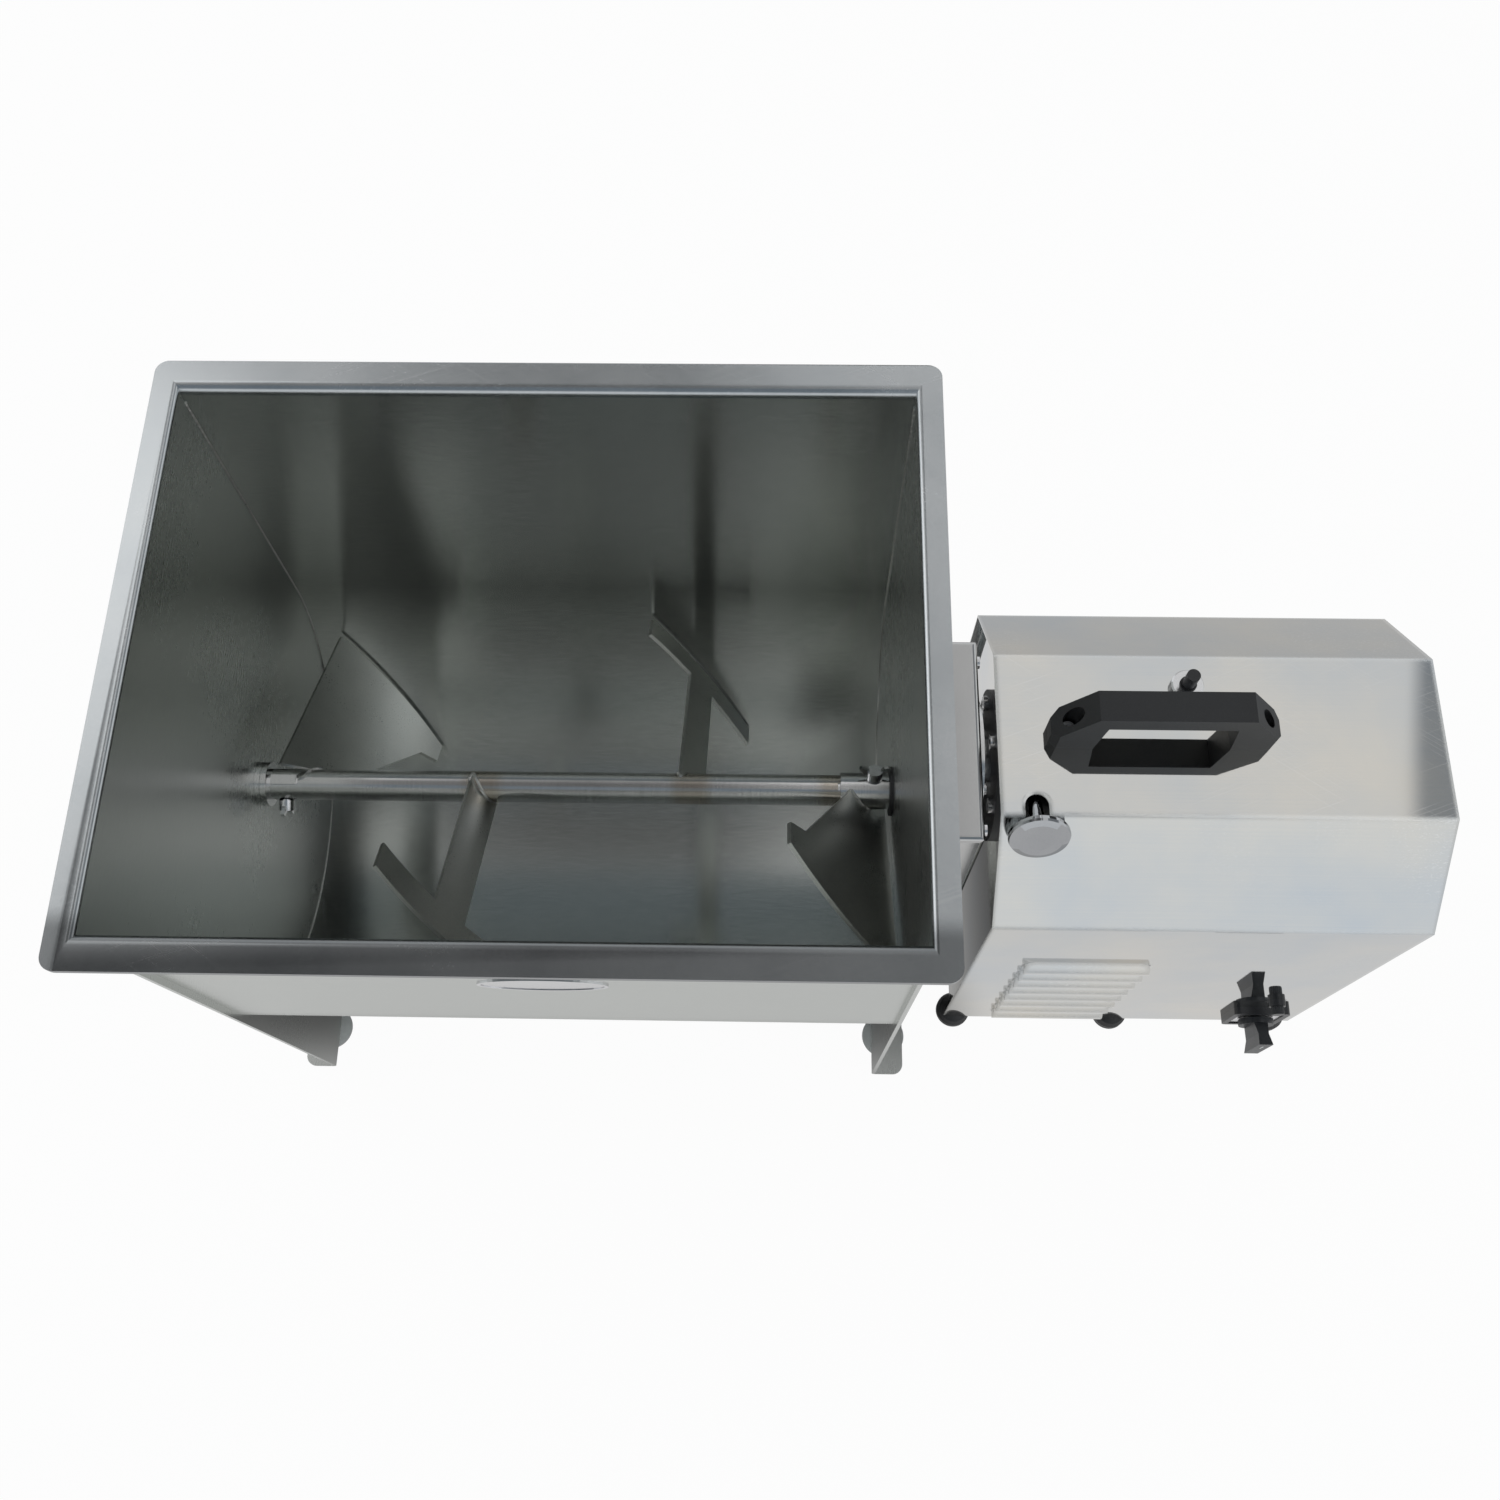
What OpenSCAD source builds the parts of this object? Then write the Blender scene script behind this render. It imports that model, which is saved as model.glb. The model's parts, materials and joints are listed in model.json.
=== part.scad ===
// Meat mixer: a stainless tank with a paddle shaft, and a gear motor unit that docks onto its end.
// X runs along the shaft towards the motor, Y to the back and Z up.
// The origin is on the floor under the middle of the whole machine.

/* [Tank] */
// Inside length of the tank, between its end plates
tank_len = 486; // [420:1:600]
// Inside radius of the trough round the shaft
trough_r = 174.5; // [160:0.5:185]
// Height of the shaft above the floor
shaft_z = 289; // [280:1:310]
// Height of the rim above the floor
rim_z = 545; // [510:1:600]
// Outward lean of the long walls, in degrees
wall_lean = 1.94; // [0.5:0.01:4]
// Thickness of the trough sheet
sheet_t = 1.5; // [1:0.1:2.5]
// Thickness of the end plates
plate_t = 3; // [2.5:0.1:4]
// Width of the flat rim flange along the long sides
side_flange_w = 15.65; // [12:0.05:25]
// Width of the flat rim flange over the end plates
end_flange_w = 13.5; // [11:0.5:22]
// Height of the hem folded down round the rim
hem_h = 4.5; // [3:0.1:10]
// Radius of the rim's outer corners
rim_corner_r = 9; // [4:0.5:11]
// Radius of the rolled edge along the long sides
side_bead_r = 6.7; // [4.5:0.1:9]
// Radius of the rolled edge over the end plates
end_bead_r = 3.5; // [3:0.1:6]
// How far the end plates stand out past the trough wall
plate_proud = 4.5; // [2:0.1:10]
// Length of the oval badge plate
badge_len = 86; // [60:1:110]
// Height of the oval badge plate
badge_h = 36; // [24:1:50]
// Height of the badge above the floor
badge_z = 412; // [370:1:440]

/* [Tank feet] */
// Width of the foot rail folded out from each end plate
rail_w = 25; // [20:1:35]
// Outside radius of the fold above the foot rail
rail_bend_r = 5; // [4.2:0.1:8]
// Radius of the foot rail's outer corners
rail_corner_r = 9; // [3:0.5:12]
// Height of the suction cups
cup_h = 8; // [7:0.5:14]
// Radius of the suction cups
cup_r = 19; // [15:0.5:22]
// Distance of each cup's centre outside its end plate
cup_out = 8.5; // [7:0.5:12]
// Distance of each cup's centre from the middle plane
cup_y = 135; // [100:1:150]
// Radius of the screws through the foot rails
foot_screw_r = 2.5; // [2:0.1:3]

/* [Mixing shaft] */
// Outside radius of the shaft tube
tube_r = 12; // [11:0.1:13]
// Radius of the bore of the shaft tube
tube_bore_r = 10; // [9:0.1:10.5]
// Distance from the left end plate to the shaft tube
tube_end_gap = 6.5; // [6:0.1:12]
// Radius of the stub axle's journal
axle_r = 9; // [7:0.1:9.5]
// Radius of the coupling collar and of the drive shaft's shoulder
collar_r = 14; // [13.2:0.1:16]
// Length of the coupling collar
collar_len = 20; // [14:0.5:26]
// Radius of the drive shaft's journal
journal_r = 11; // [10:0.1:11.5]
// Running clearance round shafts, on the radius
run_gap = 0.05; // [0.02:0.01:0.1]
// Play between flat faces that turn against each other
face_gap = 0.3; // [0.2:0.05:0.5]

/* [Paddles] */
// Distance from the paddle edges to the trough sheet
paddle_gap = 4; // [3:0.5:10]
// Thickness of the paddles
paddle_t = 3; // [2:0.1:5]
// Angle between the paddles and the shaft, in degrees
paddle_tilt = 54; // [45:1:65]
// Direction of the two rear paddles round the shaft, in degrees above the back
rear_turn = -33; // [-45:1:-20]
// Half the length of the blade on a middle paddle
blade_half = 68; // [50:1:80]
// Width of the blade on a middle paddle
blade_w = 24; // [15:0.5:35]
// Width of the arm of a middle paddle
arm_w = 29; // [20:0.5:40]
// Reach of an end paddle along its blade, from the shaft to its tip
tip_len = 90; // [75:1:96]
// Reach of an end paddle from the shaft towards its end plate
back_len = 39; // [30:1:41]

/* [Gear drive] */
// Depth of the gear cover
cover_depth = 51; // [51:0.5:70]
// Half the width of the gear cover
cover_half = 75.5; // [70:0.5:90]
// Height of the top of the gear cover
cover_top = 400; // [396:1:420]
// Height of the bottom of the gear cover
cover_low = 222; // [200:1:236]
// Thickness of the gear cover sheet
cover_t = 2; // [1:0.1:2.5]
// Module of the cover's gear pair: pitch diameter over teeth
drive_module = 1.5; // [1.4:0.05:1.6]
// Teeth on the mixing shaft's gear
mixer_teeth = 48; // [48]
// Teeth on the input pinion
input_teeth = 16; // [16]
// Width of the mixing shaft's gear
gear_w = 14; // [10:0.5:16]
// Thickness of the bearing casting
bearing_t = 16; // [14:0.5:17]
// Radius of the input shaft
input_r = 9; // [8:0.1:9.2]
// Outside radius of the drive neck that docks into the motor unit
neck_r = 25; // [23:0.5:26]
// Length of the drive neck
neck_len = 55; // [50:0.5:58]
// Thickness of the flat tang on the input shaft
tang_t = 10; // [8:0.5:12]

/* [Motor box] */
// Gap between the gear cover and the motor box
dock_gap = 11; // [10.5:0.5:20]
// Length of the motor box
box_len = 311; // [305:1:360]
// Half the width of the motor box
box_half = 124; // [116:1:140]
// Half the width of the flat top of the motor box
top_half = 60; // [58:0.5:64]
// Height of the top of the motor box
box_top = 400; // [398:1:420]
// Height of the bottom edge of the motor box
box_low = 22; // [18:1:30]
// Thickness of the motor box sheet
shell_t = 1.5; // [1:0.1:2]
// How far the end panels sit inside the ends of the box
panel_inset = 6; // [5.5:0.5:9]
// Sideways offset of the motor box from the mixing shaft
box_y = 4; // [0:0.5:10]
// Radius of the rubber feet
foot_r = 15; // [12:0.5:18]
// Distance of the feet from the side faces of the box
foot_side_in = 8; // [6:0.5:14]
// Distance of the left feet from the left end of the box
foot_left_in = 10; // [9:0.5:30]
// Distance of the right feet from the right end of the box
foot_right_in = 16; // [15:0.5:30]
// Number of louvres on each side
louvre_count = 8; // [4:1:8]
// Length of a louvre
louvre_len = 97; // [60:1:110]
// Pitch of the louvres
louvre_pitch = 24.8; // [20:0.1:28]
// Depth of a louvre's hood outside the wall
louvre_out = 6; // [4:0.5:7]

/* [Handle and controls] */
// Distance between the handle's screws
handle_pitch = 132; // [110:1:140]
// Overall length of the handle
handle_len = 157; // [145:1:164]
// Width of the handle
handle_w = 22; // [20:0.5:30]
// Height of the handle above the box
handle_h = 50; // [40:0.5:56]
// Thickness of the handle's grip
grip_t = 15; // [10:0.5:18]
// Side of the square switch plate
switch_side = 48; // [42:1:54]
// Thickness of the switch plate
switch_t = 6; // [4:0.5:8]
// Distance of the switch from the right end of the box
switch_in = 40; // [34:1:50]
// Height of the switch above the floor
switch_z = 56; // [50:1:70]
// Reach of the switch knob in front of its plate
knob_reach = 26; // [20:0.5:34]
// Radius of the reset button
button_r = 4.75; // [4:0.05:5.5]
// Travel of the reset button
button_travel = 3; // [2:0.5:4]
// Radius of the cable bore in the cable gland
gland_bore_r = 5; // [3:0.1:6]

/* [Clamp screw] */
// Radius of the clamp screw
clamp_r = 4; // [3.5:0.1:4.5]
// Slope of the clamp screw above the level, in degrees
clamp_slope = 20; // [16:1:24]
// Radius of the clamp knob's rim
knob_r = 21.3; // [18:0.1:22]
// Radius of the wedge plug that locks the drive neck
plug_r = 10; // [9:0.1:10.5]
// Length of the wedge plug
plug_len = 22; // [18:0.5:24]

/* [Gearbox and motor] */
// Module of the slow gear pair
slow_module = 2; // [1.95:0.05:2]
// Teeth on the output gear
output_teeth = 40; // [40]
// Teeth on the intermediate pinion
middle_pinion_teeth = 15; // [15]
// Module of the fast gear pair
fast_module = 1.5; // [1.45:0.05:1.55]
// Teeth on the intermediate gear
middle_gear_teeth = 39; // [39]
// Teeth on the motor pinion
rotor_teeth = 13; // [13]
// Length of the gearbox case
case_len = 64; // [60:1:70]
// Wall of the gearbox case
case_wall = 4; // [3:0.5:6]
// Radius of the motor housing
motor_r = 68; // [62:1:74]
// Room for the fan between the motor housing and the right end of the box
fan_room = 57; // [55:1:70]

/* [Hidden] */
$fn = 64;

// One overrun for every cut, and the play of seats that do not move
over = 1;
seat_gap = 0.02;

// Stations along the shaft
total_len = cup_r + cup_out + plate_t + tank_len + plate_t + cover_depth + dock_gap + box_len;
xi_l = cup_r + cup_out + plate_t - total_len / 2;
xi_r = xi_l + tank_len;
tank_x = (xi_l + xi_r) / 2;
xo_l = xi_l - plate_t;
xo_r = xi_r + plate_t;
cover_x = xo_r + cover_depth;
box_x0 = cover_x + dock_gap;
box_x1 = box_x0 + box_len;
panel_x = box_x0 + panel_inset;
panel_x1 = box_x1 - panel_inset;

// Rim and end plates
mouth_y = wall_y(rim_z - side_bead_r, trough_r);
rim_half_y = mouth_y + side_bead_r + side_flange_w;
rim_half_x = tank_len / 2 + end_bead_r + end_flange_w;
wall_top = rim_z - side_bead_r;
plate_top = rim_z - end_bead_r;
badge_t = 1.2;
badge_lip = 2.5;
badge_dish = 0.5;
badge_off_x = 4;
badge_steps = 48;

// Feet of the tank
cup_neck_r = 7;
cup_lip_w = 1.4;
cup_lip_t = 1;
cup_hollow = 1.6;
cup_web = 1.6;
cup_collar_h = 3;
cup_shoulder_z = cup_h - cup_collar_h;
screw_head_r = 4.5;
screw_head_t = 2.8;

// Left bearing of the mixing shaft
boss_flange_r = 32;
boss_flange_t = 4;
boss_r = 20;
boss_len = 11;
bush_wall = 3;
bush_r = axle_r + bush_wall;
bush_flange_r = 17;
bush_flange_t = 2;
axle_cap_t = 2;
axle_shoulder_r = 17;
axle_shoulder_t = tube_end_gap - bush_flange_t - face_gap;
spigot_len = 30;
key_w = 7.8;
key_slot_w = 8.2;
key_slot_len = 24.5;
key_len = 20;
key_start = 2;
key_end_in = 22;
key_drop = 0.5;
wing_in = 18;
wing_turn = 205;
drive_wing_turn = 65;
wing_bolt_r = 4;
wing_hub_r = 6;
wing_hub_h = 8;
wing_span = 24;
wing_h = 9;
wing_t = 3;
wing_rise = 3;
wing_shares = [[-0.14, 0], [0.14, 0], [0.34, 0.25], [0.5, 0.8], [0.42, 1], [0.3, 0.85], [0.16, 0.5],
    [-0.16, 0.5], [-0.3, 0.85], [-0.42, 1], [-0.5, 0.8], [-0.34, 0.25]];
wing_depth = 6;

// Right bearing and coupling of the mixing shaft
shoulder_len = 17;
seal_flange_r = 19;
seal_flange_t = 2.5;
seal_sleeve_r = 15;
collar_x1 = xi_r - face_gap - seal_flange_t - shoulder_len;
collar_x0 = collar_x1 - collar_len;
shoulder_x0 = collar_x1;
shoulder_x1 = shoulder_x0 + shoulder_len;
drive_spigot_len = 35;
tube_x0 = xi_l + tube_end_gap;
drive_wing_in = 14;
drive_wing_x = xi_r - drive_wing_in;

// Paddles
paddle_r = trough_r - paddle_gap;
front_turn = rear_turn + 180;
left_paddle_in = 45.7;
right_paddle_in = 27.2;
front_paddle_share = 0.353;
back_paddle_share = 0.682;
root_drop = 16;
root_reach = 4;
root_toe = 8;
root_rise = 9;
tip_depth = 22;
notch_back = 18;
notch_depth = 30;
edge_steps = 14;

// Bearing casting and gears under the cover
hub_drop = drive_module * (mixer_teeth + input_teeth) / 2;
hub_y = box_y;
hub_z = shaft_z + sqrt(hub_drop * hub_drop - hub_y * hub_y);
bearing_bore_r = seal_sleeve_r;
bearing_boss_r = 30;
bearing_hub_r = 22;
bearing_flange_t = 6;
bearing_flange_half = 46;
bearing_flange_low = 40;
bearing_flange_high = 84;
bearing_x1 = xo_r + bearing_t;
gear_hub_r = 17;
gear_hub_side = 4;
gear_space = 2;
gear_x0 = bearing_x1 + gear_space + gear_hub_side;
gear_x1 = gear_x0 + gear_w;
pinion_side = 1;
journal_x1 = gear_x1 + gear_hub_side + gear_space;
web_hole_r = 5;
web_hole_at = 26;
web_holes = 6;
input_bush_wall = 3;
input_bush_r = input_r + input_bush_wall;
input_pocket = 3;
input_x0 = xo_r + input_pocket + face_gap;
cover_edge_r = 4;
post_r = 6;
post_in = 12;
post_hole_depth = 14;
cover_screw_r = 2.5;
cover_head_r = 4.5;
cover_head_t = 2.5;
neck_flange_r = 50;
neck_flange_t = 4;
neck_bore_r = 15;
neck_x1 = cover_x + neck_len;
neck_bush_len = 24;
neck_screw_at = 41;
neck_screws = 4;
tang_len = 18;
tang_x1 = neck_x1 + tang_len;

// Hub housing of the motor unit
hub_flange_r = 56;
hub_flange_t = 5;
hub_r = 36;
hub_bolt_at = 46;
hub_bolts_n = 6;
hub_bolt_r = 3;
hub_head_r = 5.5;
hub_head_t = 3.8;
hub_key_r = 2.4;
hub_key_depth = 2;
hub_nut_t = 3;
hub_len = 74;
hub_x0 = panel_x - hub_flange_t;
hub_x1 = panel_x + hub_len;
dock_play = 0.1;
hub_bore_r = neck_r + dock_play;
socket_gap = 4;
hub_bore_end = neck_x1 + socket_gap;
socket_bore_r = 20;
socket_r = 17;
socket_len = 16;
socket_face = 2;
socket_x0 = hub_bore_end + socket_face;
tang_play = 0.1;

// Gear tooth proportions, in modules and degrees
tooth_share = 0.42;
add_share = 0.9;
ded_share = 1.25;
flank = 20;

// Gearbox
slow_drop = slow_module * (output_teeth + middle_pinion_teeth) / 2;
fast_drop = fast_module * (middle_gear_teeth + rotor_teeth) / 2;
middle_z = hub_z - slow_drop;
rotor_z = middle_z - fast_drop;
case_x0 = hub_x1;
case_x1 = case_x0 + case_len;
case_play = 2.2;
output_r = 11;
middle_r = 7.5;
rotor_r = 7.5;
gear_side = 4;
gear_between = 12;
shaft_pocket = 3;
slow_x0 = case_x0 + case_wall + gear_side;
slow_w = 16;
fast_x0 = slow_x0 + slow_w + gear_between;
fast_w = 14;
pinion_over = 1;
out_hub_r = 18;
out_hub_len = 6;
case_output_r = slow_module * (output_teeth / 2 + add_share) + case_play;
case_middle_r = fast_module * (middle_gear_teeth / 2 + add_share) + case_play;
case_rotor_r = 16;

// Motor
motor_x0 = case_x1;
motor_x1 = box_x1 - fan_room;
motor_len = motor_x1 - motor_x0;
motor_wall = 5;
motor_end_t = 6;
core_in = 28;
core_out = 20;
core_len = motor_len - core_in - core_out;
core_r = 45;
air_gap = 1;
winding_r0 = 50;
winding_r1 = 60;
winding_len = 10;
fan_gap = 5;
fan_len = 14;
fan_hub_r = 12;
fan_r = 50;
fan_blades = 8;
fan_blade_t = 2;
fan_margin = 3;
stand_t = 3;
stand_cheek_t = 6;
stand_half = 50;
stand_in = 24;

// Motor box
base_t = 3;
base_top = box_low + base_t;
ridge_z = box_top - (box_half - top_half);
bend_inset = tan(22.5);
louvre_in = 40;
louvre_x0 = box_x0 + louvre_in;
louvre_z0 = 47;
louvre_h = 15;
louvre_r = 7;
louvre_t = 1.2;
foot_low_r = 12;
foot_bulge_z = 8;
foot_dome_z = 15;
foot_top_r = 8;
foot_bevel = 2.3;
foot_bevel_z = 19.5;
foot_recess_r = 6;
foot_recess_h = 6;
foot_cols = [box_x0 + foot_left_in, (box_x0 + foot_left_in + box_x1 - foot_right_in) / 2,
             box_x1 - foot_right_in];

// Handle
handle_in = 113.25;
handle_x = box_x0 + handle_in;
handle_y = hub_y;
pad_h = 14.5;
shoulder_run = 26.5;
handle_foot = 31;
grip_chamfer = 4;
handle_corner = 5;
pocket_r = 6;
pocket_floor = 8;
handle_screw_r = 3;
handle_head_r = 4.8;
handle_head_t = 3.5;
handle_key_r = 2.4;
handle_key_depth = 2;
handle_nut_r = 5;
handle_nut_t = 4;

// Reset button
button_in = 134.5;
button_x = box_x0 + button_in;
button_y = 40;
button_neck_r = 6;
button_neck_h = 7;
button_rise = 14.5;
breaker_nut_r = 11.5;
breaker_nut_h = 6;
breaker_nut_edge = 1;
breaker_l = 22;
breaker_w = 15;
breaker_h = 16;
button_foot = 4;

// Switch and fuse
switch_x = box_x1 - switch_in;
face_side = 38;
switch_corner_r = 5;
face_sink = 1;
face_t = 2;
front_y = box_y - box_half;
back_y = box_y + box_half;
disc_r = 15;
disc_t = 5;
bar_w = 12;
bar_len = 44;
bar_neck_w = 9;
stem_r = 4;
stem_len = 12;
switch_body_side = 38;
switch_body_depth = 30;
fuse_shift = 3;
fuse_rise = 51;
fuse_x = switch_x + fuse_shift;
fuse_z = switch_z + fuse_rise;
fuse_ring_r = 7;
fuse_ring_t = 5;
fuse_cap_r = 5;
fuse_cap_t = 7;
fuse_body_r = 5.5;
fuse_body_len = 24;

// Cable gland
gland_x = switch_x;
gland_rise = 4;
gland_z = switch_z + gland_rise;
gland_r = 10;
gland_flange_r = 13;
gland_flange_t = 5;
gland_cap_r = 11.5;
gland_cap_len = 14;
gland_thread_len = 14;
gland_nut_t = 4;

// Clamp screw, measured along its axis from the point nearest the hub axis
clamp_in = 25;
clamp_x = box_x0 + clamp_in;
block_wall = 4;
block_r = plug_r + block_wall;
block_in = 16;
block_out = 30;
plug_bore_end = 18.5;
plug_in = 10;
plug_slim = 1.4;
plug_gap = 0.2;
clamp_off = neck_r + plug_r - plug_slim * (plug_len - plug_in) / plug_len + plug_gap;
screw_start = plug_len - plug_in + face_gap;
exit_s = (box_top - hub_z + top_half + hub_y - box_y - clamp_off * (cos(clamp_slope) - sin(clamp_slope)))
    / (cos(clamp_slope) + sin(clamp_slope));
knob_lift = 3;
knob_flare = knob_r * tan(45 - clamp_slope) + knob_lift;
knob_shares = [
    [-1.1, 0.22], [-0.3, 0.25], [0.08, 0.28], [0.31, 0.375], [0.58, 0.563], [0.8, 0.845], [0.884, 0.98],
    [0.93, 1], [1.1, 1], [1.22, 0.96], [1.35, 0.75], [1.45, 0.4], [1.5, 0]];
knob_start = exit_s + knob_shares[0][0] * knob_flare;
knob_bore_len = 12;
slot_w = 16.5;
slot_top_run = 15;
slot_low_z = hub_z + clamp_off * cos(clamp_slope) + exit_s * sin(clamp_slope) - slot_w / 2;

// Inside or outside of a long wall at height z, for the trough of radius r
function wall_y(z, r) = r / cos(wall_lean) + (z - shaft_z) * tan(wall_lean);
// Half the width of an end plate at height z
function plate_y(z) = wall_y(z, trough_r + sheet_t) + plate_proud;
// Reach of a paddle edge that follows the trough, at s along the blade
function paddle_edge(s) = sqrt(paddle_r * paddle_r - pow(s * sin(paddle_tilt), 2));
// Half the angle of a tooth at height h above the pitch circle
function tooth_half(n, m, h) = (tooth_share * PI * m / 2 - h * tan(flank)) / (n * m / 2 + h) * 180 / PI;
// Outline of a spur gear of n teeth and module m
function gear_points(n, m) = [
    for (i = [0 : n - 1], c = [[-1, -ded_share], [-1, add_share], [1, add_share], [1, -ded_share]])
        let (h = c[1] * m, a = i * 360 / n + c[0] * tooth_half(n, m, h))
        (n * m / 2 + h) * [cos(a), sin(a)]];
// Turn of a gear of n2 teeth that meshes with one of n1 teeth turned by a1, seen at angle dir from it
function mesh_turn(n1, a1, n2, dir) = dir + 180 + ((dir - a1) * n1 - 180) / n2;
function ring_places(n, r) = [for (i = [0 : n - 1])
    r * [cos((i + 0.5) * 360 / n), sin((i + 0.5) * 360 / n)]];

steel = "silver";
bright = "gainsboro";
dark_iron = [0.28, 0.28, 0.3];
bronze = [0.72, 0.55, 0.3];
black = [0.1, 0.1, 0.11];

// Extrusions of a (Y, Z) outline along X, and of an (X, Z) outline along Y
module ext_x(x0, x1) { translate([x0, 0, 0]) rotate([90, 0, 90]) linear_extrude(x1 - x0) children(); }
module ext_y(y0, y1) { translate([0, y1, 0]) rotate([90, 0, 0]) linear_extrude(y1 - y0) children(); }
// Round bar along X
module rod_x(x0, x1, r, y, z) { translate([x0, y, z]) rotate([0, 90, 0]) cylinder(h = x1 - x0, r = r); }
// Round bar along Y
module rod_y(y0, y1, r, x, z) { translate([x, y1, z]) rotate([90, 0, 0]) cylinder(h = y1 - y0, r = r); }
// Tank ends: u is measured outward from the inner face of an end plate
module outward(side) {
    translate([side > 0 ? xi_r : xi_l, 0, 0]) mirror([side > 0 ? 0 : 1, 0, 0]) children();
}
module round_rect(w, d, r) {
    square([w - 2 * r, d], center = true);
    square([w, d - 2 * r], center = true);
    for (sx = [-1, 1], sy = [-1, 1]) translate([sx * (w / 2 - r), sy * (d / 2 - r)]) circle(r);
}
module gear_wheel(n, m, x0, x1, y, z, turn) {
    translate([0, y, z]) ext_x(x0, x1) rotate(turn) polygon(gear_points(n, m));
}

// Round bottom and leaning walls, which meet on the lines where the walls touch the circle
module trough() {
    outer_r = trough_r + sheet_t;
    far = 2 * outer_r;
    color(steel) ext_x(xi_l, xi_r) {
        intersection() {
            translate([0, shaft_z]) difference() {
                circle(outer_r);
                circle(trough_r);
            }
            polygon([
                [0, shaft_z], [far * cos(wall_lean), shaft_z - far * sin(wall_lean)], [far, shaft_z - far],
                [-far, shaft_z - far], [-far * cos(wall_lean), shaft_z - far * sin(wall_lean)]]);
        }
        for (s = [-1, 1]) polygon([
            [s * trough_r * cos(wall_lean), shaft_z - trough_r * sin(wall_lean)],
            [s * outer_r * cos(wall_lean), shaft_z - outer_r * sin(wall_lean)],
            [s * wall_y(wall_top, outer_r), wall_top], [s * wall_y(wall_top, trough_r), wall_top]]);
    }
}

// Opening with quarter-round lips of radius r on both sides
module flared_mouth(half, r) {
    translate([-half, wall_top - over]) square([2 * half, rim_z - wall_top + 2 * over]);
    difference() {
        translate([-half - r, rim_z - r]) square([2 * (half + r), r + over]);
        for (s = [-1, 1]) translate([s * (half + r), rim_z - r]) circle(r);
    }
}

module rim_frame() {
    color(bright) difference() {
        union() {
            translate([tank_x, 0, rim_z - sheet_t]) linear_extrude(sheet_t)
                round_rect(2 * rim_half_x, 2 * rim_half_y, rim_corner_r);
            translate([tank_x, 0, rim_z - hem_h]) linear_extrude(hem_h) difference() {
                round_rect(2 * rim_half_x, 2 * rim_half_y, rim_corner_r);
                round_rect(2 * (rim_half_x - sheet_t), 2 * (rim_half_y - sheet_t), rim_corner_r - sheet_t);
            }
            for (s = [-1, 1]) {
                translate([xi_l, s > 0 ? mouth_y : -mouth_y - side_bead_r, wall_top])
                    cube([tank_len, side_bead_r, side_bead_r]);
                translate([s > 0 ? xi_r : xi_l - end_bead_r, -mouth_y - side_bead_r, plate_top])
                    cube([end_bead_r, 2 * (mouth_y + side_bead_r), end_bead_r]);
            }
        }
        intersection() {
            ext_x(xi_l - end_bead_r, xi_r + end_bead_r) flared_mouth(mouth_y, side_bead_r);
            translate([tank_x, 0, 0]) ext_y(-mouth_y - side_bead_r, mouth_y + side_bead_r)
                flared_mouth(tank_len / 2, end_bead_r);
        }
    }
}

// End plate with its foot rail folded outward, drawn with u along X
module end_sheet() {
    plate_low = cup_h + rail_bend_r;
    rail_half = plate_y(cup_h);
    rail_end = plate_t + rail_w;
    difference() {
        union() {
            ext_x(0, plate_t) polygon([
                [-plate_y(plate_low), plate_low], [plate_y(plate_low), plate_low],
                [plate_y(plate_top), plate_top], [-plate_y(plate_top), plate_top]]);
            ext_y(-rail_half, rail_half) intersection() {
                translate([0, cup_h]) square([rail_bend_r, rail_bend_r]);
                translate([rail_bend_r, plate_low]) difference() {
                    circle(rail_bend_r);
                    circle(rail_bend_r - plate_t);
                }
            }
            translate([0, 0, cup_h]) linear_extrude(plate_t) {
                translate([rail_bend_r, -rail_half])
                    square([rail_end - rail_corner_r - rail_bend_r, 2 * rail_half]);
                translate([rail_end - rail_corner_r, rail_corner_r - rail_half])
                    square([rail_corner_r, 2 * (rail_half - rail_corner_r)]);
                for (s = [-1, 1]) translate([rail_end - rail_corner_r, s * (rail_half - rail_corner_r)])
                    circle(rail_corner_r);
            }
        }
        for (s = [-1, 1]) translate([plate_t + cup_out, s * cup_y, cup_h - over])
            cylinder(h = plate_t + 2 * over, r = foot_screw_r + seat_gap);
    }
}

module left_end_plate() {
    color(steel) difference() {
        outward(-1) end_sheet();
        rod_x(xo_l - over, xi_l + over, bush_r, 0, shaft_z);
    }
}

module right_end_plate() {
    color(steel) difference() {
        outward(1) end_sheet();
        rod_x(xi_r - over, xo_r + over, seal_sleeve_r, 0, shaft_z);
    }
}

module oval(a, b) { polygon([for (i = [0 : badge_steps - 1]) let (t = i * 360 / badge_steps)
    [a * cos(t), b * sin(t)]]); }

module badge_plate() {
    color(bright) translate([tank_x + badge_off_x, -wall_y(badge_z, trough_r + sheet_t), badge_z])
        rotate([90 + wall_lean, 0, 0]) difference() {
            linear_extrude(badge_t) oval(badge_len / 2, badge_h / 2);
            translate([0, 0, badge_t - badge_dish]) linear_extrude(badge_dish + over)
                oval(badge_len / 2 - badge_lip, badge_h / 2 - badge_lip);
        }
}

module each_cup() {
    for (end = [-1, 1], s = [-1, 1]) outward(end) translate([plate_t + cup_out, s * cup_y, 0]) children();
}

module suction_feet() {
    color([0.75, 0.78, 0.78]) each_cup() rotate_extrude() polygon([
        [0, cup_hollow], [cup_r - cup_lip_w, 0], [cup_r, 0], [cup_r, cup_lip_t],
        [cup_neck_r, cup_shoulder_z], [cup_neck_r, cup_h], [foot_screw_r + seat_gap, cup_h],
        [foot_screw_r + seat_gap, cup_hollow + cup_web], [0, cup_hollow + cup_web]]);
}

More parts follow.
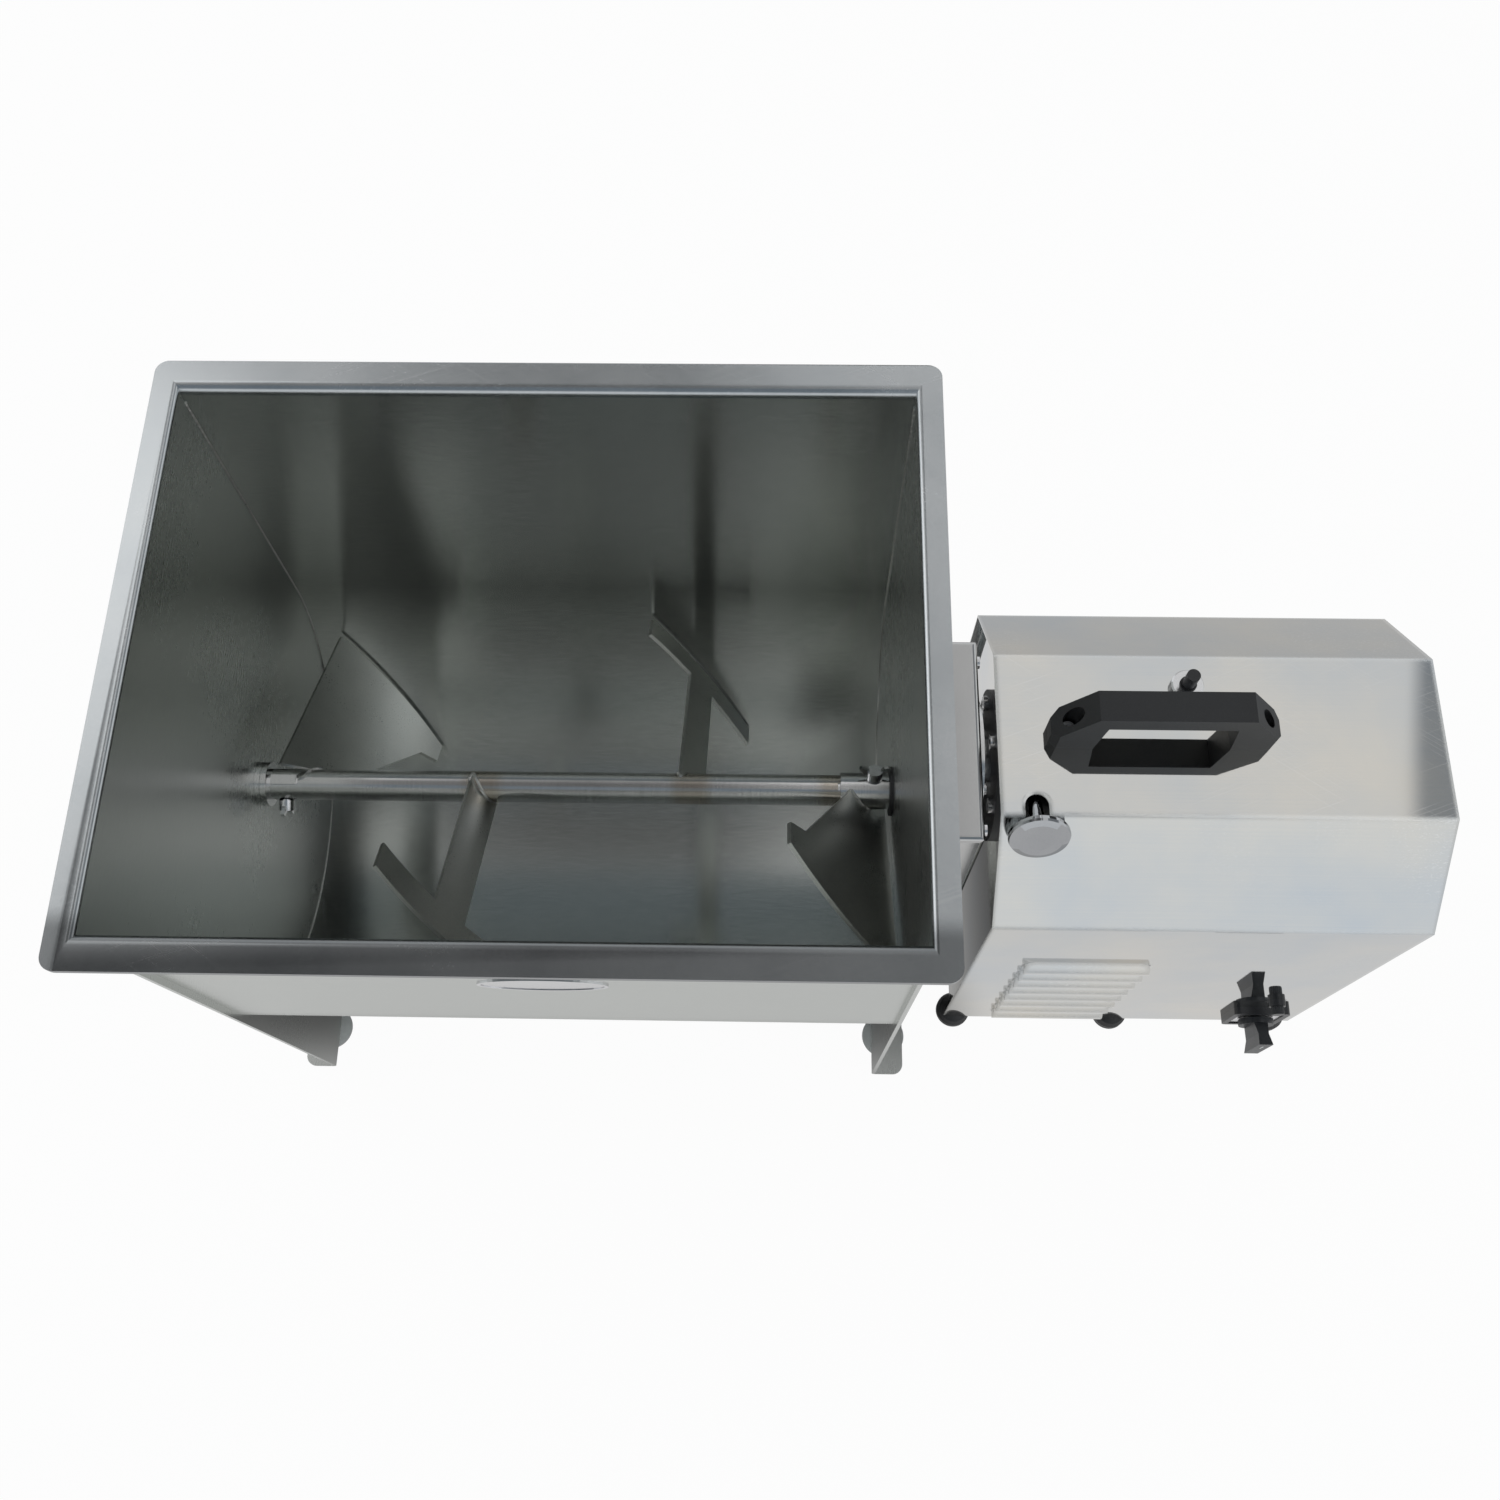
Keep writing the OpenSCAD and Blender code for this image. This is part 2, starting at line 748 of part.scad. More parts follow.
module foot_screws() {
    head_z = cup_h + plate_t;
    color(bright) each_cup() {
        translate([0, 0, cup_hollow + cup_web + seat_gap])
            cylinder(h = head_z - cup_hollow - cup_web - seat_gap, r = foot_screw_r);
        translate([0, 0, head_z]) cylinder(h = screw_head_t, r1 = screw_head_r, r2 = foot_screw_r);
    }
}

module axle_boss() {
    color(steel) outward(-1) difference() {
        union() {
            rod_x(plate_t, plate_t + boss_flange_t, boss_flange_r, 0, shaft_z);
            rod_x(plate_t, plate_t + boss_len, boss_r, 0, shaft_z);
        }
        rod_x(plate_t - over, plate_t + boss_len + over, bush_r, 0, shaft_z);
    }
}

module axle_bush() {
    color(bronze) outward(-1) difference() {
        union() {
            rod_x(0, plate_t + boss_len, bush_r - seat_gap, 0, shaft_z);
            rod_x(-bush_flange_t, 0, bush_flange_r, 0, shaft_z);
        }
        rod_x(-bush_flange_t - over, plate_t + boss_len + over, axle_r + run_gap, 0, shaft_z);
    }
}

module axle_cap() {
    color(steel) outward(-1) rod_x(plate_t + boss_len, plate_t + boss_len + axle_cap_t, boss_r, 0, shaft_z);
}

module shaft_seal() {
    color(black) difference() {
        union() {
            rod_x(xi_r - seal_flange_t, xi_r, seal_flange_r, 0, shaft_z);
            rod_x(xi_r, xo_r, seal_sleeve_r - seat_gap, 0, shaft_z);
        }
        rod_x(xi_r - seal_flange_t - over, xo_r + over, journal_r + run_gap, 0, shaft_z);
    }
}

module bearing_plate() {
    color(dark_iron) difference() {
        union() {
            ext_x(xo_r, xo_r + bearing_flange_t)
                translate([0, shaft_z + (bearing_flange_high - bearing_flange_low) / 2])
                round_rect(2 * bearing_flange_half, bearing_flange_low + bearing_flange_high, cover_edge_r);
            rod_x(xo_r, bearing_x1, bearing_boss_r, 0, shaft_z);
            rod_x(xo_r, bearing_x1, bearing_hub_r, hub_y, hub_z);
        }
        rod_x(xo_r - over, bearing_x1 + over, bearing_bore_r, 0, shaft_z);
        rod_x(xo_r + input_pocket, bearing_x1 + over, input_bush_r, hub_y, hub_z);
    }
}

module drive_bush() {
    color(bronze) difference() {
        rod_x(xo_r, bearing_x1, bearing_bore_r - seat_gap, 0, shaft_z);
        rod_x(xo_r - over, bearing_x1 + over, journal_r + run_gap, 0, shaft_z);
    }
}

// Four corners of the gear cover
function post_places() = [for (sy = [-1, 1], z = [cover_low + post_in, cover_top - post_in])
    [sy * (cover_half - post_in), z]];
function neck_screw_places() = [for (p = ring_places(neck_screws, neck_screw_at))
    [hub_y + p[0], hub_z + p[1]]];

// Pan with rounded edges, drawn solid, g inside its outer faces and from x0 on
module pan(g, x0) {
    mid_z = (cover_low + cover_top) / 2;
    high = cover_top - cover_low;
    intersection() {
        ext_x(x0, cover_x - g) translate([0, mid_z])
            round_rect(2 * (cover_half - g), high - 2 * g, cover_edge_r - g);
        ext_y(-cover_half, cover_half) translate([xo_r, mid_z])
            round_rect(2 * (cover_depth - g), high - 2 * g, cover_edge_r - g);
        translate([xo_r, 0, cover_low]) linear_extrude(high)
            round_rect(2 * (cover_depth - g), 2 * (cover_half - g), cover_edge_r - g);
    }
}

module gear_cover() {
    color(bright) difference() {
        pan(0, xo_r);
        pan(cover_t, xo_r - over);
        rod_x(cover_x - cover_t - over, cover_x + over, neck_bore_r, hub_y, hub_z);
        for (p = concat(post_places(), neck_screw_places()))
            rod_x(cover_x - cover_t - over, cover_x + over, cover_screw_r + seat_gap, p[0], p[1]);
    }
}

module cover_posts() {
    post_x1 = cover_x - cover_t;
    color(steel) for (p = post_places()) difference() {
        rod_x(xo_r, post_x1, post_r, p[0], p[1]);
        rod_x(post_x1 - post_hole_depth, post_x1 + over, cover_screw_r + seat_gap, p[0], p[1]);
    }
}

module cap_screw(x, p, reach) {
    rod_x(x - reach, x, cover_screw_r, p[0], p[1]);
    rod_x(x, x + cover_head_t, cover_head_r, p[0], p[1]);
}

module cover_screws() {
    color(bright) {
        for (p = post_places()) cap_screw(cover_x, p, cover_t + post_hole_depth - over);
        for (p = neck_screw_places()) {
            cap_screw(cover_x + neck_flange_t, p, neck_flange_t + 2 * cover_t);
            rod_x(cover_x - cover_t - cover_head_t, cover_x - cover_t, cover_head_r, p[0], p[1]);
        }
    }
}

module drive_neck() {
    color(steel) difference() {
        union() {
            rod_x(cover_x, cover_x + neck_flange_t, neck_flange_r, hub_y, hub_z);
            rod_x(cover_x, neck_x1, neck_r, hub_y, hub_z);
        }
        rod_x(cover_x - over, neck_x1 + over, neck_bore_r, hub_y, hub_z);
        for (p = neck_screw_places())
            rod_x(cover_x - over, cover_x + neck_flange_t + over, cover_screw_r + seat_gap, p[0], p[1]);
    }
}

module input_bushes() {
    color(bronze) {
        difference() {
            rod_x(xo_r + input_pocket, bearing_x1, input_bush_r - seat_gap, hub_y, hub_z);
            rod_x(xo_r, bearing_x1 + over, input_r + run_gap, hub_y, hub_z);
        }
        difference() {
            rod_x(neck_x1 - neck_bush_len, neck_x1, neck_bore_r - seat_gap, hub_y, hub_z);
            rod_x(neck_x1 - neck_bush_len - over, neck_x1 + over, input_r + run_gap, hub_y, hub_z);
        }
    }
}

module stub_axle() {
    shoulder_u = -bush_flange_t - face_gap;
    spigot_r = tube_bore_r - seat_gap;
    color(bright) outward(-1) {
        difference() {
            union() {
                rod_x(shoulder_u, plate_t + boss_len - face_gap, axle_r, 0, shaft_z);
                rod_x(shoulder_u - axle_shoulder_t, shoulder_u, axle_shoulder_r, 0, shaft_z);
                rod_x(-tube_end_gap - spigot_len, shoulder_u, spigot_r, 0, shaft_z);
                translate([-tube_end_gap - key_start - key_len, -key_w / 2, shaft_z])
                    cube([key_len, key_w, tube_r - key_drop]);
            }
            bolt_place(-wing_in, wing_turn) translate([0, 0, tube_r - wing_depth])
                cylinder(h = wing_depth, r = wing_bolt_r);
        }
    }
}

module paddle_shaft() {
    color(steel) difference() {
        rod_x(tube_x0, collar_x1, tube_r, 0, shaft_z);
        rod_x(tube_x0 - over, collar_x1 + over, tube_bore_r, 0, shaft_z);
        translate([tube_x0 - over, -key_slot_w / 2, shaft_z])
            cube([key_slot_len - key_slot_w / 2 + over, key_slot_w, tube_r]);
        translate([tube_x0 + key_slot_len - key_slot_w / 2, 0, shaft_z])
            cylinder(h = tube_r, r = key_slot_w / 2);
        bolt_place(xi_l + wing_in, wing_turn) cylinder(h = tube_r + over, r = wing_bolt_r + seat_gap);
        translate([collar_x1 - key_end_in, -key_slot_w / 2, shaft_z])
            cube([key_end_in + over, key_slot_w, tube_r]);
    }
}

// Flat plate through the shaft at x, turned about the shaft and tilted to it; its outline is (s, q)
module paddle_place(x, turn, hand) {
    translate([x, 0, shaft_z]) rotate([turn - 90, 0, 0]) rotate([0, 0, -hand * paddle_tilt])
        rotate([90, 0, 0]) linear_extrude(paddle_t, center = true) children();
}

module middle_paddle(x, turn, hand) {
    outer = [for (i = [0 : edge_steps]) let (s = blade_half * (2 * i / edge_steps - 1))
        [s, paddle_edge(s)]];
    inner = [for (i = [0 : edge_steps / 2])
        let (s = blade_half - (blade_half - arm_w / 2) * 2 * i / edge_steps)
        [s, paddle_edge(s) - blade_w]];
    mirrored = [for (i = [edge_steps / 2 : -1 : 0]) [-inner[i][0], inner[i][1]]];
    color(bright) difference() {
        paddle_place(x, turn, hand)
            polygon(concat(outer, inner, [[arm_w / 2, 0], [-arm_w / 2, 0]], mirrored));
        rod_x(x - blade_half, x + blade_half, tube_r + seat_gap, 0, shaft_z);
    }
}

module end_paddle(x, turn, hand, flip, hole_r) {
    edge = [for (i = [0 : edge_steps]) let (s = -back_len + (tip_len + back_len) * i / edge_steps)
        [flip * s, paddle_edge(s)]];
    tip = [
        [flip * tip_len, paddle_edge(tip_len) - tip_depth],
        [flip * (tip_len - notch_back), paddle_edge(tip_len) - notch_depth],
        [flip * root_reach, 0], [-flip * root_toe, root_rise], [-flip * back_len, -root_drop]];
    color(bright) difference() {
        paddle_place(x, turn, hand) polygon(concat(edge, tip));
        rod_x(x - tip_len, x + tip_len, hole_r + seat_gap, 0, shaft_z);
    }
}

module paddle_left_end() { end_paddle(xi_l + left_paddle_in, rear_turn, -1, 1, tube_r); }
module paddle_front() { middle_paddle(xi_l + front_paddle_share * tank_len, front_turn, 1); }
module paddle_back() { middle_paddle(xi_l + back_paddle_share * tank_len, rear_turn, -1); }
module paddle_right_end() { end_paddle(xi_r - right_paddle_in, front_turn, 1, -1, collar_r); }

// Turns what follows so that it points away from the shaft at x, this many degrees above the back
module bolt_place(x, turn) {
    translate([x, 0, shaft_z]) rotate([turn - 90, 0, 0]) children();
}

// Bolt with two wings, screwed into a round of radius r; spin turns the wings about the bolt
module wing_screw(x, turn, r, spin) {
    color(bright) bolt_place(x, turn) {
        translate([0, 0, r - wing_depth + seat_gap]) cylinder(h = wing_depth, r = wing_bolt_r - seat_gap);
        difference() {
            translate([0, 0, r]) cylinder(h = wing_hub_h, r = wing_hub_r);
            rotate([0, 90, 0]) cylinder(h = 2 * wing_hub_r, r = r + seat_gap, center = true);
        }
        translate([0, 0, r + wing_rise]) rotate([90, 0, spin]) translate([0, 0, -wing_t / 2])
            linear_extrude(wing_t)
            polygon([for (p = wing_shares) [p[0] * wing_span, p[1] * wing_h]]);
    }
}

module wing_bolt() { wing_screw(xi_l + wing_in, wing_turn, tube_r, 90); }

module shaft_collar() {
    color(bright) difference() {
        rod_x(collar_x0, collar_x1, collar_r, 0, shaft_z);
        rod_x(collar_x0 - over, collar_x1 + over, tube_r + seat_gap, 0, shaft_z);
    }
}

module drive_shaft() {
    color(bright) difference() {
        union() {
            rod_x(collar_x1 - drive_spigot_len, shoulder_x0, tube_bore_r - seat_gap, 0, shaft_z);
            rod_x(shoulder_x0, shoulder_x1, collar_r, 0, shaft_z);
            rod_x(shoulder_x1, journal_x1, journal_r, 0, shaft_z);
            translate([collar_x1 - key_len, -key_w / 2, shaft_z]) cube([key_len, key_w, tube_r - key_drop]);
        }
        bolt_place(drive_wing_x, drive_wing_turn)
            translate([0, 0, collar_r - wing_depth]) cylinder(h = wing_depth + over, r = wing_bolt_r);
    }
}

module drive_wing_bolt() { wing_screw(drive_wing_x, drive_wing_turn, collar_r, 0); }

module mixer_gear() {
    color(steel) difference() {
        union() {
            gear_wheel(mixer_teeth, drive_module, gear_x0, gear_x1, 0, shaft_z, 0);
            rod_x(gear_x0 - gear_hub_side, gear_x1 + gear_hub_side, gear_hub_r, 0, shaft_z);
        }
        rod_x(gear_x0 - gear_hub_side - over, gear_x1 + gear_hub_side + over, journal_r + seat_gap, 0,
            shaft_z);
        for (p = ring_places(web_holes, web_hole_at))
            rod_x(gear_x0 - over, gear_x1 + over, web_hole_r, p[0], shaft_z + p[1]);
    }
}

module input_shaft() {
    color(bright) {
        rod_x(input_x0, neck_x1, input_r, hub_y, hub_z);
        intersection() {
            rod_x(neck_x1, tang_x1, input_r, hub_y, hub_z);
            translate([neck_x1, hub_y - tang_t / 2, hub_z - input_r]) cube([tang_len, tang_t, 2 * input_r]);
        }
    }
}

module input_pinion() {
    hub_dir = atan2(hub_z - shaft_z, hub_y);
    color(steel) difference() {
        gear_wheel(input_teeth, drive_module, gear_x0 - pinion_side, gear_x1 + pinion_side, hub_y, hub_z,
            mesh_turn(mixer_teeth, 0, input_teeth, hub_dir));
        rod_x(gear_x0 - pinion_side - over, gear_x1 + pinion_side + over, input_r + seat_gap, hub_y, hub_z);
    }
}

// Cross-section of the motor box, drawn g inside its outer face, from height low
module box_outline(g, low) {
    polygon([
        [box_y - box_half + g, low], [box_y + box_half - g, low],
        [box_y + box_half - g, ridge_z - g * bend_inset], [box_y + top_half - g * bend_inset, box_top - g],
        [box_y - top_half + g * bend_inset, box_top - g],
            [box_y - box_half + g, ridge_z - g * bend_inset]]);
}

// Space under one louvre, drawn g inside its outer face, for the wall at y facing side
module louvre_space(y, side, z, g, back, low) {
    intersection() {
        ext_x(louvre_x0 + g, louvre_x0 + louvre_len - g) translate([y, z]) polygon([
            [-side * back, 0], [0, 0], [0, -low], [side * (louvre_out - g), -low],
            [side * (louvre_out - g), louvre_h / 3], [0, louvre_h - g], [-side * back, louvre_h - g]]);
        ext_y(y - louvre_out - over, y + louvre_out + over)
            translate([louvre_x0 + louvre_len / 2, z])
                round_rect(louvre_len - 2 * g, 2 * (louvre_h - g), louvre_r - g);
    }
}

module housing_shell() {
    color(bright) difference() {
        union() {
            ext_x(box_x0, box_x1) difference() {
                box_outline(0, box_low);
                box_outline(shell_t, box_low - over);
            }
            for (s = [-1, 1], i = [0 : louvre_count - 1])
                louvre_space(box_y + s * box_half, s, louvre_z0 + i * louvre_pitch, 0, shell_t, 0);
        }
        for (s = [-1, 1], i = [0 : louvre_count - 1])
            louvre_space(box_y + s * box_half, s, louvre_z0 + i * louvre_pitch, louvre_t,
                shell_t + over, over);
        for (p = handle_screw_places()) translate([p, handle_y, box_top - shell_t - over])
            cylinder(h = shell_t + 2 * over, r = handle_screw_r + seat_gap);
        translate([button_x, button_y, box_top - shell_t - over])
            cylinder(h = shell_t + 2 * over, r = button_neck_r + seat_gap);
        clamp_slot();
        rod_y(front_y - over, front_y + shell_t + over, disc_r, switch_x, switch_z);
        rod_y(front_y - over, front_y + shell_t + over, fuse_body_r + seat_gap, fuse_x, fuse_z);
        rod_y(back_y - shell_t - over, back_y + over, gland_r + seat_gap, gland_x, gland_z);
    }
}

// Slot for the clamp screw, over the front bend of the top
module clamp_slot() {
    bend_y = box_y - top_half;
    slot_run = slot_top_run - slot_w / 2;
    low = box_top - slot_low_z + over;
    translate([clamp_x, bend_y, slot_low_z]) linear_extrude(low) {
        translate([-slot_w / 2, -low]) square([slot_w, slot_run + low]);
        translate([0, slot_run]) circle(slot_w / 2);
    }
}

module left_end_panel() {
    color(bright) difference() {
        ext_x(panel_x, panel_x + shell_t) box_outline(shell_t, base_top);
        rod_x(panel_x - over, panel_x + shell_t + over, hub_r + seat_gap, hub_y, hub_z);
        for (p = ring_places(hub_bolts_n, hub_bolt_at))
            rod_x(panel_x - over, panel_x + shell_t + over, hub_bolt_r + seat_gap, hub_y + p[0],
                hub_z + p[1]);
    }
}

module right_end_panel() {
    color(bright) ext_x(panel_x1 - shell_t, panel_x1) box_outline(shell_t, base_top);
}

// Places of the rubber feet under the box
function foot_places() = [for (x = foot_cols, s = [-1, 1]) [x, box_y + s * (box_half - foot_side_in)]];

module base_plate() {
    color(steel) translate([panel_x, box_y - box_half + shell_t, box_low])
        cube([panel_x1 - panel_x, 2 * (box_half - shell_t), base_t]);
}

module rubber_feet() {
    color(black) for (p = foot_places()) translate([p[0], p[1], 0]) rotate_extrude() polygon([
        [foot_recess_r, 0], [foot_low_r, 0], [foot_r, foot_bulge_z], [foot_r, foot_dome_z],
        [foot_r - foot_bevel, foot_bevel_z], [foot_top_r, box_low], [0, box_low], [0, foot_recess_h],
        [foot_recess_r, foot_recess_h]]);
}

function handle_screw_places() = [handle_x - handle_pitch / 2, handle_x + handle_pitch / 2];

module handle() {
    half = handle_len / 2;
    color(black) difference() {
        intersection() {
            ext_y(handle_y - handle_w / 2, handle_y + handle_w / 2) translate([handle_x, box_top]) polygon([
                [-half, 0], [-half, pad_h], [-half + shoulder_run, handle_h],
                    [half - shoulder_run, handle_h],
                [half, pad_h], [half, 0], [half - handle_foot, 0],
                [half - handle_foot - grip_chamfer, handle_h - grip_t],
                [-half + handle_foot + grip_chamfer, handle_h - grip_t], [-half + handle_foot, 0]]);
            translate([handle_x, handle_y, box_top]) linear_extrude(handle_h) polygon([
                for (c = [[-1, -1, 0], [-1, -1, 1], [1, -1, 1], [1, -1, 0], [1, 1, 0], [1, 1, 1],
                    [-1, 1, 1], [-1, 1, 0]])
                    [c[0] * (half - c[2] * handle_corner),
                        c[1] * (handle_w / 2 - (1 - c[2]) * handle_corner)]]);
        }
        for (x = handle_screw_places()) {
            translate([x, handle_y, box_top - over]) cylinder(h = handle_h, r = handle_screw_r + seat_gap);
            translate([x, handle_y, box_top + pocket_floor]) cylinder(h = handle_h, r = pocket_r);
        }
    }
}

module handle_screws() {
    key_z = pocket_floor + handle_head_t - handle_key_depth;
    color(bright) for (x = handle_screw_places()) translate([x, handle_y, box_top]) difference() {
        union() {
            translate([0, 0, -shell_t - handle_nut_t])
                cylinder(h = shell_t + handle_nut_t + pocket_floor, r = handle_screw_r);
            translate([0, 0, pocket_floor]) cylinder(h = handle_head_t, r = handle_head_r);
            translate([0, 0, -shell_t - handle_nut_t]) cylinder(h = handle_nut_t, r = handle_nut_r);
        }
        translate([0, 0, key_z]) cylinder(h = handle_key_depth + over, r = handle_key_r, $fn = 6);
    }
}

module breaker_body() {
    body_z = box_top - shell_t - breaker_h;
    color(black) difference() {
        union() {
            translate([button_x - breaker_l / 2, button_y - breaker_w / 2, body_z])
                cube([breaker_l, breaker_w, breaker_h]);
            translate([button_x, button_y, body_z])
                cylinder(h = breaker_h + shell_t + button_neck_h, r = button_neck_r);
        }
        translate([button_x, button_y, body_z + button_foot])
            cylinder(h = box_top + button_neck_h - body_z, r = button_r + run_gap);
    }
}

// Ring nut that holds the breaker's neck in the top of the box
module breaker_nut() {
    bore_r = button_neck_r + seat_gap;
    color(bright) translate([button_x, button_y, box_top]) rotate_extrude() polygon([
        [bore_r, 0], [breaker_nut_r, 0], [breaker_nut_r, breaker_nut_h - breaker_nut_edge],
        [breaker_nut_r - breaker_nut_edge, breaker_nut_h], [bore_r, breaker_nut_h]]);
}

module reset_button() {
    low = box_top - shell_t - breaker_h + button_foot + button_travel + face_gap;
    color([0.16, 0.16, 0.17]) translate([button_x, button_y, low])
        cylinder(h = box_top + button_neck_h + button_rise - low, r = button_r);
}

module switch_bezel() {
    color(black) difference() {
        ext_y(front_y - switch_t, front_y) translate([switch_x, switch_z])
            round_rect(switch_side, switch_side, switch_corner_r);
        ext_y(front_y - switch_t - over, front_y - switch_t + face_sink + face_t)
            translate([switch_x, switch_z])
            square(face_side, center = true);
        rod_y(front_y - switch_t - over, front_y + over, stem_r + run_gap, switch_x, switch_z);
    }
}

module switch_face() {
    color(bright) difference() {
        ext_y(front_y - switch_t + face_sink, front_y - switch_t + face_sink + face_t)
            translate([switch_x, switch_z])
            square(face_side - 2 * seat_gap, center = true);
        rod_y(front_y - switch_t - over, front_y + over, stem_r + run_gap, switch_x, switch_z);
    }
}

module switch_body() {
    color([0.2, 0.2, 0.22]) difference() {
        union() {
            translate([switch_x - switch_body_side / 2, front_y + shell_t, switch_z - switch_body_side / 2])
                cube([switch_body_side, switch_body_depth, switch_body_side]);
            rod_y(front_y, front_y + shell_t, disc_r - seat_gap, switch_x, switch_z);
        }
        rod_y(front_y - over, front_y + stem_len, stem_r + run_gap, switch_x, switch_z);
    }
}

module switch_knob() {
    disc_y1 = front_y - switch_t - face_gap;
    disc_y0 = disc_y1 - disc_t;
    tip_y = front_y - switch_t - knob_reach;
    color(black) {
        rod_y(disc_y0, disc_y1, disc_r, switch_x, switch_z);
        rod_y(disc_y1, front_y + stem_len - face_gap, stem_r, switch_x, switch_z);
        intersection() {
            translate([switch_x, 0, switch_z - bar_len / 2]) linear_extrude(bar_len) polygon([
                [-bar_w / 2, disc_y0], [-bar_neck_w / 2, (disc_y0 + tip_y) / 2], [-bar_w / 2, tip_y],
                [bar_w / 2, tip_y], [bar_neck_w / 2, (disc_y0 + tip_y) / 2], [bar_w / 2, disc_y0]]);
            ext_x(switch_x - bar_w, switch_x + bar_w) polygon([
                [disc_y0, switch_z - disc_r + over], [tip_y, switch_z - bar_len / 2],
                [tip_y, switch_z + bar_len / 2], [disc_y0, switch_z + disc_r - over]]);
        }
    }
}

module fuse_holder() {
    color(black) {
        rod_y(front_y - fuse_ring_t, front_y, fuse_ring_r, fuse_x, fuse_z);
        rod_y(front_y - fuse_ring_t - fuse_cap_t, front_y, fuse_cap_r, fuse_x, fuse_z);
        rod_y(front_y, front_y + fuse_body_len, fuse_body_r, fuse_x, fuse_z);
    }
}

module cable_gland() {
    color(black) difference() {
        union() {
            rod_y(back_y, back_y + gland_flange_t, gland_flange_r, gland_x, gland_z);
            rod_y(back_y, back_y + gland_flange_t + gland_cap_len, gland_cap_r, gland_x, gland_z);
            rod_y(back_y - shell_t - gland_thread_len, back_y, gland_r, gland_x, gland_z);
            rod_y(back_y - shell_t - gland_nut_t, back_y - shell_t, gland_flange_r, gland_x, gland_z);
        }
        rod_y(back_y - shell_t - gland_thread_len - over, back_y + gland_flange_t + gland_cap_len + over,
            gland_bore_r, gland_x, gland_z);
    }
}

// Clamp screw frame: origin nearest the hub axis, local Z outward along the screw
module clamp_place() {
    translate([clamp_x, hub_y + clamp_off * sin(clamp_slope), hub_z + clamp_off * cos(clamp_slope)])
        rotate([90 - clamp_slope, 0, 0]) children();
}

module hub_housing() {
    color(dark_iron) difference() {
        union() {
            rod_x(hub_x0, panel_x, hub_flange_r, hub_y, hub_z);
            rod_x(panel_x, hub_x1, hub_r, hub_y, hub_z);
            clamp_place() translate([0, 0, -block_in]) cylinder(h = block_in + block_out, r = block_r);
        }
        rod_x(hub_x0 - over, hub_bore_end, hub_bore_r, hub_y, hub_z);
        rod_x(hub_bore_end - over, hub_x1 + over, socket_bore_r, hub_y, hub_z);
        clamp_place() {
            translate([0, 0, -block_in - over])
                cylinder(h = block_in + plug_bore_end + over, r = plug_r + run_gap);
            cylinder(h = block_out + over, r = clamp_r + run_gap);
        }
        for (p = ring_places(hub_bolts_n, hub_bolt_at))
            rod_x(hub_x0 - over, panel_x + over, hub_bolt_r + seat_gap, hub_y + p[0], hub_z + p[1]);
    }
}

module hub_bolts() {
    color(bright) for (p = ring_places(hub_bolts_n, hub_bolt_at)) {
        rod_x(hub_x0, panel_x + shell_t + hub_nut_t, hub_bolt_r, hub_y + p[0], hub_z + p[1]);
        difference() {
            rod_x(hub_x0 - hub_head_t, hub_x0, hub_head_r, hub_y + p[0], hub_z + p[1]);
            translate([hub_x0 - hub_head_t - over, hub_y + p[0], hub_z + p[1]]) rotate([0, 90, 0])
                cylinder(h = hub_key_depth + over, r = hub_key_r, $fn = 6);
        }
        translate([panel_x + shell_t, hub_y + p[0], hub_z + p[1]]) rotate([0, 90, 0])
            cylinder(h = hub_nut_t, r = hub_head_r, $fn = 6);
    }
}

module clamp_pad() {
    color(bronze) clamp_place() translate([0, 0, -plug_in])
        cylinder(h = plug_len, r1 = plug_r - plug_slim, r2 = plug_r);
}

module clamp_screw() {
    color(bright) clamp_place() translate([0, 0, screw_start])
        cylinder(h = knob_start + knob_bore_len - screw_start, r = clamp_r);
}

// Bell-shaped knob: a slim neck that flares to a rounded rim and a low dome
module clamp_knob() {
    color(bright) clamp_place() difference() {
        rotate_extrude() polygon(concat([[0, knob_start]],
            [for (p = knob_shares) [p[1] * knob_r, exit_s + p[0] * knob_flare]]));
        translate([0, 0, knob_start - over])
            cylinder(h = knob_bore_len + over + seat_gap, r = clamp_r + seat_gap);
    }
}

// Outline of the gearbox, grown by g outside the space for its gears
module case_outline(g) {
    ro = case_output_r + g;
    rm = case_middle_r + g;
    rr = case_rotor_r + g;
    translate([hub_y, hub_z]) circle(ro);
    translate([hub_y, middle_z]) circle(rm);
    translate([hub_y, rotor_z]) circle(rr);
    polygon([
        [hub_y - ro, hub_z], [hub_y - rm, middle_z], [hub_y - rr, rotor_z],
        [hub_y + rr, rotor_z], [hub_y + rm, middle_z], [hub_y + ro, hub_z]]);
}

module gearbox_case() {
    color(dark_iron) difference() {
        ext_x(case_x0, case_x1) case_outline(case_wall);
        ext_x(case_x0 + case_wall, case_x1 - case_wall) case_outline(0);
        rod_x(case_x0 - over, case_x1 - case_wall + shaft_pocket, output_r + run_gap, hub_y, hub_z);
        rod_x(case_x0 + case_wall - shaft_pocket, case_x1 - case_wall + shaft_pocket,
            middle_r + run_gap, hub_y, middle_z);
        rod_x(case_x1 - case_wall - over, case_x1 + over, rotor_r + run_gap, hub_y, rotor_z);
    }
}

module output_shaft() {
    color(bright) difference() {
        union() {
            rod_x(socket_x0, socket_x0 + socket_len, socket_r, hub_y, hub_z);
            rod_x(socket_x0 + socket_len, case_x1 - case_wall + shaft_pocket - face_gap, output_r,
                hub_y, hub_z);
        }
        translate([socket_x0 - over, hub_y - tang_t / 2 - tang_play, hub_z - socket_r - over])
            cube([tang_x1 + face_gap - socket_x0 + over, tang_t + 2 * tang_play, 2 * (socket_r + over)]);
    }
}

